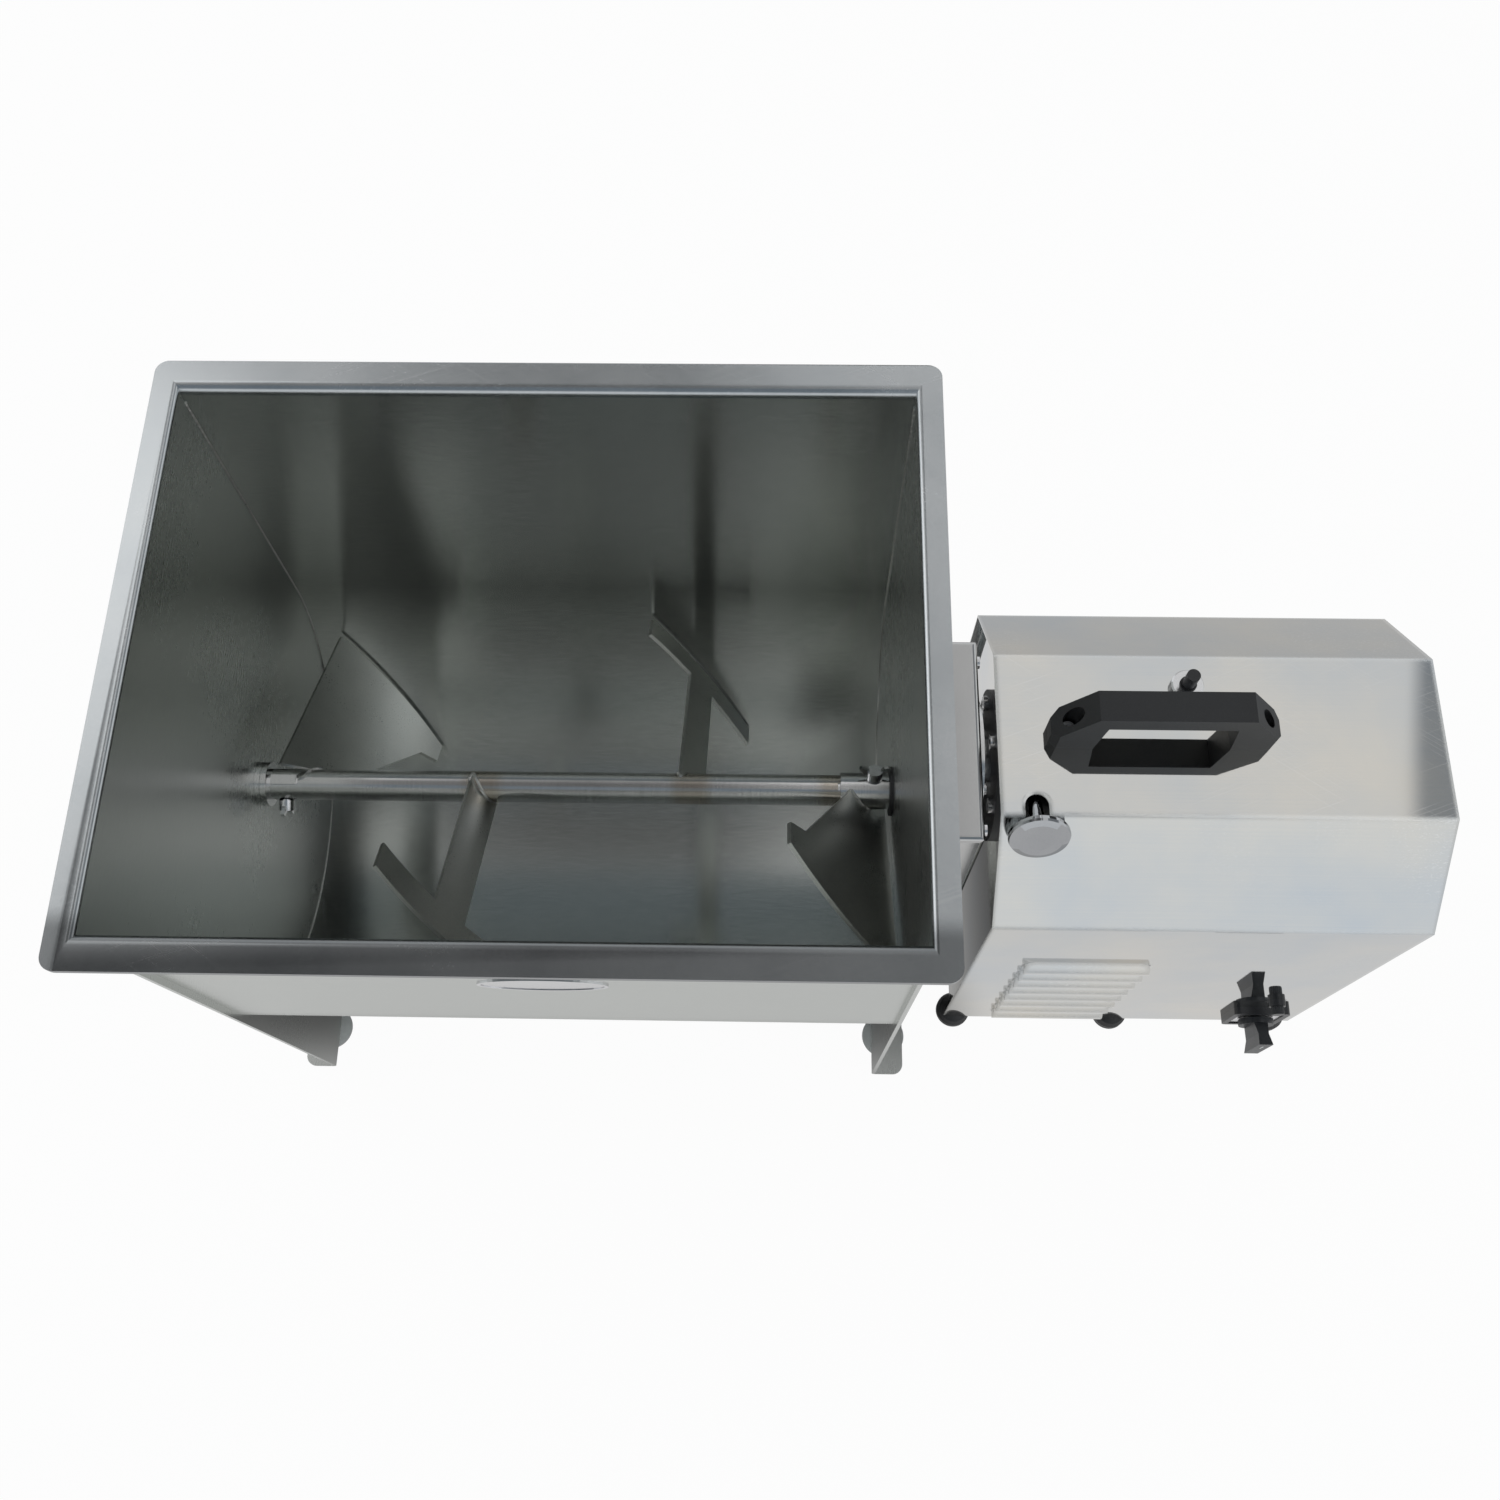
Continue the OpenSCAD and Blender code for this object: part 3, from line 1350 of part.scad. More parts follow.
module output_gear() {
    color(steel) difference() {
        union() {
            gear_wheel(output_teeth, slow_module, slow_x0, slow_x0 + slow_w, hub_y, hub_z, 0);
            rod_x(slow_x0 + slow_w, slow_x0 + slow_w + out_hub_len, out_hub_r, hub_y, hub_z);
        }
        rod_x(slow_x0 - over, slow_x0 + slow_w + out_hub_len + over, output_r + seat_gap, hub_y, hub_z);
    }
}

module intermediate_gear() {
    color(steel) {
        gear_wheel(middle_pinion_teeth, slow_module, slow_x0 - pinion_over,
            slow_x0 + slow_w + pinion_over, hub_y, middle_z,
            mesh_turn(output_teeth, 0, middle_pinion_teeth, -90));
        gear_wheel(middle_gear_teeth, fast_module, fast_x0, fast_x0 + fast_w, hub_y, middle_z, 0);
        rod_x(case_x0 + case_wall - shaft_pocket + face_gap, case_x1 - case_wall + shaft_pocket - face_gap,
            middle_r, hub_y, middle_z);
    }
}

module motor_rotor() {
    core_x0 = motor_x0 + core_in;
    fan_x0 = motor_x1 + fan_gap;
    color(steel) {
        gear_wheel(rotor_teeth, fast_module, fast_x0 - pinion_over, fast_x0 + fast_w + pinion_over,
            hub_y, rotor_z,
            mesh_turn(middle_gear_teeth, 0, rotor_teeth, -90));
        rod_x(fast_x0 + fast_w / 2, fan_x0 + fan_len / 2, rotor_r, hub_y, rotor_z);
        rod_x(core_x0, core_x0 + core_len, core_r, hub_y, rotor_z);
        rod_x(fan_x0, fan_x0 + fan_len, fan_hub_r, hub_y, rotor_z);
        rod_x(fan_x0 + fan_len - fan_blade_t, fan_x0 + fan_len, fan_r, hub_y, rotor_z);
        translate([fan_x0, hub_y, rotor_z]) for (i = [0 : fan_blades - 1])
            rotate([(i + 0.5) * 360 / fan_blades, 0, 0])
            translate([0, -fan_blade_t / 2, fan_hub_r / 2])
                cube([fan_len - fan_blade_t / 2, fan_blade_t, fan_r - fan_margin - fan_hub_r / 2]);
    }
}

module motor_housing() {
    color([0.32, 0.34, 0.36]) difference() {
        rod_x(motor_x0, motor_x1, motor_r, hub_y, rotor_z);
        rod_x(motor_x0 + motor_end_t, motor_x1 - motor_end_t, motor_r - motor_wall, hub_y, rotor_z);
        rod_x(motor_x0 - over, motor_x1 + over, rotor_r + run_gap, hub_y, rotor_z);
    }
}

module stator() {
    core_x0 = motor_x0 + core_in;
    color([0.45, 0.32, 0.22]) difference() {
        union() {
            rod_x(core_x0, core_x0 + core_len, motor_r - motor_wall - seat_gap, hub_y, rotor_z);
            rod_x(core_x0 - winding_len, core_x0 + core_len + winding_len, winding_r1, hub_y, rotor_z);
        }
        rod_x(core_x0 - winding_len - over, core_x0 + core_len + winding_len + over, core_r + air_gap,
            hub_y, rotor_z);
        for (x = [core_x0 - winding_len - over, core_x0 + core_len])
            rod_x(x, x + winding_len + over, winding_r0, hub_y, rotor_z);
    }
}

module motor_stand() {
    color(steel) difference() {
        union() {
            translate([motor_x0 + stand_in, hub_y - stand_half, base_top])
                cube([motor_len - 2 * stand_in, 2 * stand_half, stand_t]);
            for (x = [motor_x0 + stand_in, motor_x1 - stand_in - stand_cheek_t])
                translate([x, hub_y - stand_half, base_top])
                    cube([stand_cheek_t, 2 * stand_half, rotor_z - base_top - motor_r / 2]);
        }
        rod_x(motor_x0, motor_x1, motor_r + seat_gap, hub_y, rotor_z);
    }
}

trough();
rim_frame();
left_end_plate();
right_end_plate();
badge_plate();
suction_feet();
foot_screws();
axle_boss();
axle_bush();
axle_cap();
shaft_seal();
bearing_plate();
drive_bush();
gear_cover();
cover_posts();
cover_screws();
drive_neck();
input_bushes();
stub_axle();
paddle_shaft();
paddle_left_end();
paddle_front();
paddle_back();
paddle_right_end();
wing_bolt();
shaft_collar();
drive_shaft();
drive_wing_bolt();
mixer_gear();
input_shaft();
input_pinion();
housing_shell();
left_end_panel();
right_end_panel();
base_plate();
rubber_feet();
handle();
handle_screws();
breaker_body();
breaker_nut();
switch_bezel();
switch_face();
switch_body();
fuse_holder();
hub_housing();
hub_bolts();
gearbox_case();
motor_housing();
stator();
motor_stand();
cable_gland();
clamp_pad();
clamp_screw();
clamp_knob();
reset_button();
switch_knob();
output_shaft();
output_gear();
intermediate_gear();
motor_rotor();
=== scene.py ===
# %% [markdown]
# # A meat mixer
# A stainless tank with a paddle shaft across it, and a polished motor box docked onto its right end. The
# solid parts come from the construction, in metres and already in place. This notebook gives every solid its
# finish, adds the small things that a solid leaves out, and sets up the studio and the camera. A finish is
# looked up by the name that the construction gives a part, so to change a finish is to change one row.

# %% Load the parts
import json
import math

import bpy
from mathutils import Matrix, Vector
from mathutils.geometry import convex_hull_2d


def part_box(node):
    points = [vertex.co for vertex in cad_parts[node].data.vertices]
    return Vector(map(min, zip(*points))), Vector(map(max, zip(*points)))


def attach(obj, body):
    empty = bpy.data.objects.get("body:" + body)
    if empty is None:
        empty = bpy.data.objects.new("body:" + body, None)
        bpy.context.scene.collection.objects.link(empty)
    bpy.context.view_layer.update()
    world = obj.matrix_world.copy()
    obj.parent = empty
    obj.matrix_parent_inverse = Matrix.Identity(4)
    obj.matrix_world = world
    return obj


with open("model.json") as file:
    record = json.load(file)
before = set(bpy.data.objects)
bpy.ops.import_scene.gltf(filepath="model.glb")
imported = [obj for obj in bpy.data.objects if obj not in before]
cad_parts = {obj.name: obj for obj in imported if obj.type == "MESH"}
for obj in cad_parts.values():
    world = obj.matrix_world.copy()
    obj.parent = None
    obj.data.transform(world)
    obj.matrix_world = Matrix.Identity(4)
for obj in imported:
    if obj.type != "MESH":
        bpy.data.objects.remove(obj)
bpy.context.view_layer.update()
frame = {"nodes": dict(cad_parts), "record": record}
nodes = frame["nodes"]
slot_of = {part["node"]: part["material_slot"] for part in frame["record"]["subparts"]}

# %% [markdown]
# The camera stands in front of the tank, above it, and looks steeply down, so the picture shows into the
# tank and onto the box's top. It could be aimed at a target object, but its place and turn were found by
# fitting the corners of the rim and of the box. So they are written as a place, a yaw, a pitch and a roll,
# which are easy to read and to correct one by one.

# %% The camera
CAMERA_PLACE = Vector((-0.01875, -0.382, 1.346))
YAW, PITCH, ROLL = math.radians(-2.85), math.radians(68.55), math.radians(2.03)
LENS_MM, SENSOR_MM = 34.99, 36

ahead = Vector((math.sin(YAW) * math.cos(PITCH), math.cos(YAW) * math.cos(PITCH), -math.sin(PITCH)))
level_right = Vector((math.cos(YAW), -math.sin(YAW), 0))
level_down = ahead.cross(level_right)
right = math.cos(ROLL) * level_right + math.sin(ROLL) * level_down
down = math.cos(ROLL) * level_down - math.sin(ROLL) * level_right

camera_data = bpy.data.cameras.new("camera")
camera_data.lens = LENS_MM
camera_data.sensor_width = SENSOR_MM
camera = bpy.data.objects.new("camera", camera_data)
turn = Matrix((right, -down, -ahead)).transposed().to_4x4()
camera.matrix_world = Matrix.Translation(CAMERA_PLACE) @ turn
bpy.context.scene.collection.objects.link(camera)
bpy.context.scene.camera = camera
bpy.context.scene.view_settings.view_transform = "Standard"
print("camera looks along", [round(c, 3) for c in ahead])

# %% [markdown]
# All finishes, the floor and the sky are built from shader nodes. They could be clicked together by hand,
# but then nobody could read them off a page. A node made here says in one line what it is, where it stands
# in the editor and what each of its sockets gets: a constant, or the output of another node.


# %% Small helpers for shader nodes
def feed(tree, socket, value):
    """Join an output to this socket, or set the socket to a constant."""
    if isinstance(value, bpy.types.NodeSocket):
        tree.links.new(value, socket)
    else:
        socket.default_value = value


def new_node(tree, kind, place, settings=None, **properties):
    """A node at a place in the editor. The settings name its sockets, the rest are its properties."""
    node = tree.nodes.new(kind)
    node.location = place
    for name, value in properties.items():
        setattr(node, name, value)
    for name, value in (settings or {}).items():
        feed(tree, node.inputs[name], value)
    return node


def blank_material(name):
    material = bpy.data.materials.new(name)
    material.use_nodes = True
    material.node_tree.nodes.clear()
    return material, material.node_tree


print("helpers ready: feed, new_node, blank_material")

# %% [markdown]
# Most nodes only calculate: they add, mix, or turn a distance into a share between nothing and all. Each of
# these helpers makes one such node and hands back its output, so a chain of nodes reads like a formula.


# %% Helpers that calculate
def calc(tree, place, operation, *values):
    node = new_node(tree, "ShaderNodeMath", place, operation=operation)
    for socket, value in zip(node.inputs, values):
        feed(tree, socket, value)
    return node.outputs[0]


def calc_vector(tree, place, operation, *values):
    node = new_node(tree, "ShaderNodeVectorMath", place, operation=operation)
    for socket, value in zip(node.inputs, values):
        feed(tree, socket, value)
    return node.outputs["Value" if operation == "LENGTH" else "Vector"]


def scaled(tree, place, vector, share):
    node = new_node(tree, "ShaderNodeVectorMath", place, {"Scale": share}, operation="SCALE")
    feed(tree, node.inputs[0], vector)
    return node.outputs[0]


def ramp(tree, place, value, low, high, start=0.0, end=1.0, kind="SMOOTHSTEP"):
    """Go from start to end while the value goes from low to high."""
    settings = {"Value": value, "From Min": low, "From Max": high, "To Min": start, "To Max": end}
    return new_node(tree, "ShaderNodeMapRange", place, settings, interpolation_type=kind).outputs["Result"]


def mixed(tree, place, factor, a, b, kind="RGBA"):
    settings = {"Factor": factor, "A": a, "B": b}
    return new_node(tree, "ShaderNodeMix", place, settings, data_type=kind).outputs["Result"]


def axes(tree, place, vector):
    return new_node(tree, "ShaderNodeSeparateXYZ", place, {"Vector": vector}).outputs


def object_place(tree, place):
    return new_node(tree, "ShaderNodeTexCoord", place).outputs["Object"]


print("helpers ready: calc, calc_vector, scaled, ramp, mixed, axes, object_place")

# %% [markdown]
# Bare metal shows little but its surroundings, so the studio decides how the steel looks. Softboxes and
# boards could stand round the machine, but each would then show in every view. So the studio is painted on
# the sky, as a colour for each direction. It is pale all round near the floor. Overhead hangs a wide panel
# with a narrow bright strip across it and a sharp right edge, and in front of the panel the ceiling is a
# dull blue grey. A flat polished top shows the panel and its edge, every bend shows a dark line, and the
# trough draws the strip out into a long streak. The camera itself sees plain white behind the machine.

# %% The studio's levels
WHITE = (1, 1, 1, 1)
HORIZON = (0.87, 0.89, 0.905, 1)
FRONT_CEILING = (0.20, 0.235, 0.27, 1)
# The panel from left to right: the share of the way, and how bright it is there
PANEL = ((0.0, 0.34), (0.19, 0.38), (0.235, 0.75), (0.28, 0.5), (0.35, 0.3), (0.46, 0.25), (0.5, 0.4),
         (0.515, 1.5), (0.535, 1.4), (0.545, 0.34), (0.57, 0.46), (0.62, 0.8), (0.829, 0.79), (0.835, 0.3),
         (1.0, 0.25))
# Directions: how far to the side the panel reaches, and where one zone goes over into the next
REACH = 0.6
PANEL_FRONT, PANEL_LOW = (-0.34, -0.16), (0.42, 0.56)
DULL_OVERHEAD, DULL_SHARE, RIGHT_HALF = (0.12, 0.58), 0.5, (0.08, 0.14)
COOL_PAST, COOL_BLUE, PLAIN_BLUE = 0.83, 1.12, 1.01
print("the panel has", len(PANEL), "levels, the brightest", max(level for where, level in PANEL))

# %% The sky
world = bpy.data.worlds.new("studio_sky")
world.use_nodes = True
sky = world.node_tree
sky.nodes.clear()

direction = new_node(sky, "ShaderNodeTexCoord", (-1200, 0)).outputs["Generated"]
x, y, z = axes(sky, (-1000, 0), direction)
sideways = ramp(sky, (-800, 300), x, -REACH, REACH, kind="LINEAR")
panel = new_node(sky, "ShaderNodeValToRGB", (-600, 300), {"Fac": sideways})
while len(panel.color_ramp.elements) < len(PANEL):
    panel.color_ramp.elements.new(0.5)
for element, (where, level) in zip(panel.color_ramp.elements, PANEL):
    element.position = where
    blue = COOL_BLUE if where > COOL_PAST else PLAIN_BLUE
    element.color = (level, level * math.sqrt(blue), level * blue, 1)

low_back = ramp(sky, (-800, 0), y, *DULL_OVERHEAD, start=DULL_SHARE)
right_half = ramp(sky, (-800, -200), x, *RIGHT_HALF)
bright_share = calc(sky, (-600, -100), "MAXIMUM", low_back, right_half)
panel_color = scaled(sky, (-400, 150), panel.outputs["Color"], bright_share)
ceiling = mixed(sky, (-200, 150), ramp(sky, (-600, 0), y, *PANEL_FRONT), FRONT_CEILING, panel_color)
whole = mixed(sky, (0, 0), ramp(sky, (-600, -300), z, *PANEL_LOW), HORIZON, ceiling)
looked_at = new_node(sky, "ShaderNodeLightPath", (0, 300)).outputs["Is Camera Ray"]
backdrop = mixed(sky, (100, 0), looked_at, whole, WHITE)
glow = new_node(sky, "ShaderNodeBackground", (300, 0), {"Color": backdrop})
new_node(sky, "ShaderNodeOutputWorld", (500, 0), {"Surface": glow.outputs[0]})
bpy.context.scene.world = world
print("sky nodes:", len(sky.nodes))

# %% [markdown]
# The floor is plain white paper. Lit by lamps alone it would come out grey, so it adds its own white: to the
# camera so much that the background is white, while the machine keeps a faint shadow. In reflections it is
# a little greyer, greyer still far behind, and dark under the machine, where a real floor gets no light.

# %% The floor's levels
# Metres, and shares of full white
FLOOR_SIDE = 14.0
PAPER = (0.86, 0.86, 0.86, 1)
CAMERA_WHITE, MIRROR_WHITE, SHADE_WHITE = 1.0, 0.72, 0.10
FAR_BACK, FAR_SHARE = (0.35, 0.9), 0.74
OWN_SHARE = 0.96
SHADE_CENTRE, SHADE_HALF, SHADE_SOFT = (-0.17, 0.0, 0.0), (0.26, 0.12, 0.0), 0.10
print("floor white to the camera:", CAMERA_WHITE, "in mirrors:", MIRROR_WHITE)

# %% Where the floor is bright
floor_paint, tree = blank_material("studio_floor")
rays = new_node(tree, "ShaderNodeLightPath", (-900, 300)).outputs
seen = calc(tree, (-700, 300), "MAXIMUM", rays["Is Camera Ray"], rays["Is Glossy Ray"])
seen = calc(tree, (-500, 300), "MAXIMUM", seen, rays["Is Transmission Ray"])
own_light = calc(tree, (-300, 300), "MULTIPLY", seen, OWN_SHARE)

spot = object_place(tree, (-1500, -200))
from_centre = calc_vector(tree, (-1300, -200), "SUBTRACT", spot, SHADE_CENTRE)
one_quarter = calc_vector(tree, (-1100, -200), "ABSOLUTE", from_centre)
past_edge = calc_vector(tree, (-900, -200), "SUBTRACT", one_quarter, SHADE_HALF)
outside = calc_vector(tree, (-700, -200), "MAXIMUM", past_edge)
away = calc_vector(tree, (-500, -200), "LENGTH", outside)
open_floor = ramp(tree, (-300, -200), away, 0.0, SHADE_SOFT, SHADE_WHITE, MIRROR_WHITE)
far_share = ramp(tree, (-900, -450), axes(tree, (-1100, -450), spot)["Y"], *FAR_BACK, 1.0, FAR_SHARE)
mirrored = calc(tree, (-200, -350), "MULTIPLY", open_floor, far_share)
strength = mixed(tree, (-100, -100), rays["Is Camera Ray"], mirrored, CAMERA_WHITE, kind="FLOAT")
print("nodes that measure the floor:", len(tree.nodes))


# %% The floor
def flat_sheet(name, side):
    mesh = bpy.data.meshes.new(name)
    half = side / 2
    mesh.from_pydata([(-half, -half, 0), (half, -half, 0), (half, half, 0), (-half, half, 0)], [],
                     [(0, 1, 2, 3)])
    sheet = bpy.data.objects.new(name, mesh)
    bpy.context.scene.collection.objects.link(sheet)
    return sheet


matte = new_node(tree, "ShaderNodeBsdfDiffuse", (0, 150), {"Color": PAPER})
white = new_node(tree, "ShaderNodeEmission", (100, -100), {"Color": WHITE, "Strength": strength})
blend = new_node(tree, "ShaderNodeMixShader", (300, 0))
for socket, value in zip(blend.inputs, (own_light, matte.outputs[0], white.outputs[0])):
    feed(tree, socket, value)
new_node(tree, "ShaderNodeOutputMaterial", (500, 0), {"Surface": blend.outputs[0]})

floor = flat_sheet("studio_floor", FLOOR_SIDE)
floor.data.materials.append(floor_paint)
print("floor:", floor.dimensions[0], "m square")

# %% [markdown]
# Two large soft lamps stand like windows at the back left and the front right. Point lamps would leave hard
# specks on steel; these are wide and weak, so a polished face that mirrors one is bright but not burnt out.
# They mostly serve the dull black parts, which the sky alone would leave flat.


# %% The lamps
def soft_lamp(name, place, target, size, power):
    data = bpy.data.lights.new(name, "AREA")
    data.shape = "RECTANGLE"
    data.size, data.size_y = size
    data.energy = power
    lamp = bpy.data.objects.new(name, data)
    aim = (Vector(target) - Vector(place)).to_track_quat("-Z", "Y")
    lamp.matrix_world = Matrix.LocRotScale(Vector(place), aim, None)
    bpy.context.scene.collection.objects.link(lamp)


# name: place, target, width and height in metres, watts
LAMPS = {"window_left": ((-1.9, 0.7, 2.1), (0, 0, 0.3), (2.0, 1.6), 10),
         "window_right": ((1.6, -1.3, 2.3), (0.1, 0, 0.3), (1.9, 1.4), 8)}
for name, settings in LAMPS.items():
    soft_lamp(name, *settings)
print("lamps:", ", ".join(LAMPS))

# %% [markdown]
# Nearly every steel surface here is brushed or ground, which leaves fine lines in one direction, and all of
# them have wide, weak clouds where the polish or the grip of a hand differs. A photo of brushed steel could
# be laid on, but it would repeat and stretch. Noise has no size: the lines are noise stretched a few hundred
# times along the brushing, the clouds are the same noise left wide. One group makes both for every finish.


# %% A group for brushed lines and clouds
def new_group(name, inputs, outputs):
    """An empty group, its inputs to read from and its outputs to feed."""
    group = bpy.data.node_groups.new(name, "ShaderNodeTree")
    for label, kind, value in inputs:
        socket = group.interface.new_socket(label, in_out="INPUT", socket_type="NodeSocket" + kind)
        socket.default_value = value
    for label, kind in outputs:
        group.interface.new_socket(label, in_out="OUTPUT", socket_type="NodeSocket" + kind)
    given = new_node(group, "NodeGroupInput", (-1200, 0)).outputs
    result = new_node(group, "NodeGroupOutput", (450, 0)).inputs
    return group, given, result


def noise(tree, place, vector, **settings):
    return new_node(tree, "ShaderNodeTexNoise", place, {"Vector": vector, **settings}).outputs["Fac"]


# Most of a noise's values lie between these two
NOISE_LOW, NOISE_HIGH = 0.3, 0.7

grain_group, given, result = new_group(
    "brushed_grain",
    (("Stretch", "Vector", (6.0, 900.0, 900.0)), ("Cloud Scale", "Float", 7.0),
     ("Dark", "Color", (0.4, 0.4, 0.4, 1)), ("Light", "Color", (0.6, 0.6, 0.6, 1)),
     ("Line Amount", "Float", 0.5), ("Rough Low", "Float", 0.2), ("Rough High", "Float", 0.3)),
    (("Color", "Color"), ("Roughness", "Float"), ("Lines", "Float")))
spot = object_place(grain_group, (-1200, 300))
stretched = calc_vector(grain_group, (-950, 300), "MULTIPLY", spot, given["Stretch"])
lines = noise(grain_group, (-700, 300), stretched, Detail=3.0, Scale=1.0, Roughness=0.65)
clouds = noise(grain_group, (-700, 0), spot, Scale=given["Cloud Scale"], Detail=4.0, Roughness=0.55)
both = mixed(grain_group, (-400, 200), given["Line Amount"], clouds, lines, kind="FLOAT")
spread = ramp(grain_group, (-280, 200), both, NOISE_LOW, NOISE_HIGH, kind="LINEAR")
tone = mixed(grain_group, (-150, 100), spread, given["Dark"], given["Light"])
rough = ramp(grain_group, (-150, -150), both, NOISE_LOW, NOISE_HIGH, given["Rough Low"], given["Rough High"],
             kind="LINEAR")
for name, value in (("Color", tone), ("Roughness", rough), ("Lines", lines)):
    feed(grain_group, result[name], value)
print("group sockets:", [socket.name for socket in grain_group.interface.items_tree])

# %% [markdown]
# Wiping a bright surface leaves hairlines: thin, long, in a few directions, and broken. They could be drawn
# one by one, but real ones come in hundreds. Here two stretched noises at different angles are cut off high,
# so only their crests remain, and a wide noise decides where the wiping was hard. The mask that comes out
# brightens the steel a little and roughens it, as fine scratches do.

# %% A group for hairline scratches
HAIRLINE_TURNS = (0.6, -0.36)
HAIRLINE_STRETCH, HAIRLINE_CREST = (9.0, 1100.0, 1100.0), (0.62, 0.74)
WIPED_HARD = (0.4, 0.7)

hairline_group, given, result = new_group("hairlines", (("Density", "Float", 0.6),), (("Mask", "Float"),))
spot = object_place(hairline_group, (-1200, 300))
crests = []
for index, turn in enumerate(HAIRLINE_TURNS):
    lift = -200 * index
    turned = new_node(hairline_group, "ShaderNodeVectorRotate", (-800, lift),
                      {"Vector": spot, "Angle": turn}, rotation_type="Z_AXIS")
    drawn_out = calc_vector(hairline_group, (-600, lift), "MULTIPLY", turned.outputs[0], HAIRLINE_STRETCH)
    fine = noise(hairline_group, (-400, lift), drawn_out, Scale=1.0, Detail=1.0)
    crests.append(ramp(hairline_group, (-200, lift), fine, *HAIRLINE_CREST))
patches = noise(hairline_group, (-400, -400), spot, Scale=8.0, Detail=2.0)
wiped = ramp(hairline_group, (-200, -400), patches, *WIPED_HARD)
scratches = calc(hairline_group, (0, 100), "MAXIMUM", *crests)
scratches = calc(hairline_group, (150, 0), "MULTIPLY", scratches, wiped)
scratches = calc(hairline_group, (300, 0), "MULTIPLY", scratches, given["Density"])
feed(hairline_group, result["Mask"], scratches)
print("hairlines at", len(HAIRLINE_TURNS), "angles")

# %% [markdown]
# Three things are done to some of the steels and not to others. Wiped steel gets the hairlines. The rim's
# front roll gets a painted shade: its colour is darkened towards the front edge, standing in for the dim
# studio that the roll mirrors. And beside a weld the heat has tinted the steel straw and brown; that tint is
# a thin clear oxide, so it changes the colour and leaves the shine. Each is a function that takes the colour
# so far and hands back the changed one.

# %% Wear, painted shade and heat
SCRATCH_COLOR, SCRATCH_ROUGHNESS = (0.9, 0.9, 0.9, 1), 0.25
# Where the painted shade on the front roll ends, in metres along Y, and how far a tint reaches from its weld
FRONT_ROLL = (-0.182, -0.165)
TINT_COLOR, TINT_WIDTH, TINT_AMOUNT = (0.46, 0.37, 0.26, 1), (0.007, 0.02), 0.5


def wiped_steel(tree, color, roughness, density):
    wiping = new_node(tree, "ShaderNodeGroup", (-600, -300), {"Density": density}, node_tree=hairline_group)
    mask = wiping.outputs["Mask"]
    color = mixed(tree, (-250, 150), mask, color, SCRATCH_COLOR)
    return color, calc(tree, (-250, 0), "MULTIPLY_ADD", mask, SCRATCH_ROUGHNESS, roughness)


# Painted shade: the colour drops to a share of itself towards the front edge, for the dim reflection there
def painted_front_shade(tree, color, front_shade_share):
    depth = axes(tree, (-1400, 700), object_place(tree, (-1600, 700)))["Y"]
    return scaled(tree, (-250, 600), color, ramp(tree, (-600, 700), depth, *FRONT_ROLL, start=front_shade_share))


def tinted_near(tree, color, welds):
    along = axes(tree, (-1400, 400), object_place(tree, (-1600, 400)))["X"]
    nearest = None
    for weld in welds:
        distance = calc(tree, (-1000, 400), "ABSOLUTE", calc(tree, (-1200, 400), "SUBTRACT", along, weld))
        nearest = distance if nearest is None else calc(tree, (-800, 400), "MINIMUM", nearest, distance)
    heat = ramp(tree, (-600, 400), nearest, *TINT_WIDTH, TINT_AMOUNT, 0.0)
    return mixed(tree, (-250, 300), heat, color, TINT_COLOR)


print("helpers ready: wiped_steel, painted_front_shade, tinted_near")

# %% [markdown]
# A steel is the grain group with its own direction, colours and roughness. The lines also drive a very
# shallow bump, which drags a reflection out across the brushing. Two more effects belong to single steels:
# rolled sheet mirrors in streaks, which the shader makes from a direction round the trough, and a folded
# sheet has rounded bends, which a bevel in the normals shows with no extra faces.

# %% A steel
# The noise's fineness along X, Y and Z: the smaller it is, the longer the lines run that way
ALONG_X, ALONG_Z = (5.0, 1000.0, 1000.0), (1000.0, 1000.0, 5.0)
EVEN, TURNED = (700.0, 700.0, 700.0), (900.0, 40.0, 40.0)
SHEET, PLATE = (90.0, 700.0, 700.0), (700.0, 90.0, 700.0)
LINE_DEPTH = 0.0005
finishes = {}


def grain(tree, dark, light, rough, stretch, cloud, lines=0.5):
    settings = {"Stretch": stretch, "Cloud Scale": cloud, "Dark": (*dark, 1), "Light": (*light, 1),
                "Line Amount": lines, "Rough Low": rough[0], "Rough High": rough[1]}
    return new_node(tree, "ShaderNodeGroup", (-600, 0), settings, node_tree=grain_group).outputs


def metal(name, dark, light, rough, stretch, cloud, lines=0.5, bump=0.05, streak=0.0, bend=0.0,
          hairlines=0.0, front_shade_share=1.0, welds=()):
    """A steel from its dark and light colour, its roughness, its brushing and the fineness of its clouds."""
    material, tree = blank_material(name)
    surface = grain(tree, dark, light, rough, stretch, cloud, lines)
    color, roughness = surface["Color"], surface["Roughness"]
    if hairlines:
        color, roughness = wiped_steel(tree, color, roughness, hairlines)
    # Painted shade on the rim's front roll, darker towards its front edge
    if front_shade_share < 1.0:
        color = painted_front_shade(tree, color, front_shade_share)
    if welds:
        color = tinted_near(tree, color, welds)
    relief = new_node(tree, "ShaderNodeBump", (-300, -250),
                      {"Strength": bump, "Distance": LINE_DEPTH, "Height": surface["Lines"]})
    skin = new_node(tree, "ShaderNodeBsdfPrincipled", (0, 0),
                    {"Base Color": color, "Metallic": 1.0, "Roughness": roughness, "Anisotropic": streak,
                     "Normal": relief.outputs["Normal"]})
    if streak:
        around = new_node(tree, "ShaderNodeTangent", (-300, -450), direction_type="RADIAL", axis="X")
        feed(tree, skin.inputs["Tangent"], around.outputs["Tangent"])
    if bend:
        rounded = new_node(tree, "ShaderNodeBevel", (-500, -350), {"Radius": bend})
        feed(tree, relief.inputs["Normal"], rounded.outputs["Normal"])
    new_node(tree, "ShaderNodeOutputMaterial", (300, 0), {"Surface": skin.outputs[0]})
    finishes[name] = material


print("helpers ready: grain, metal")

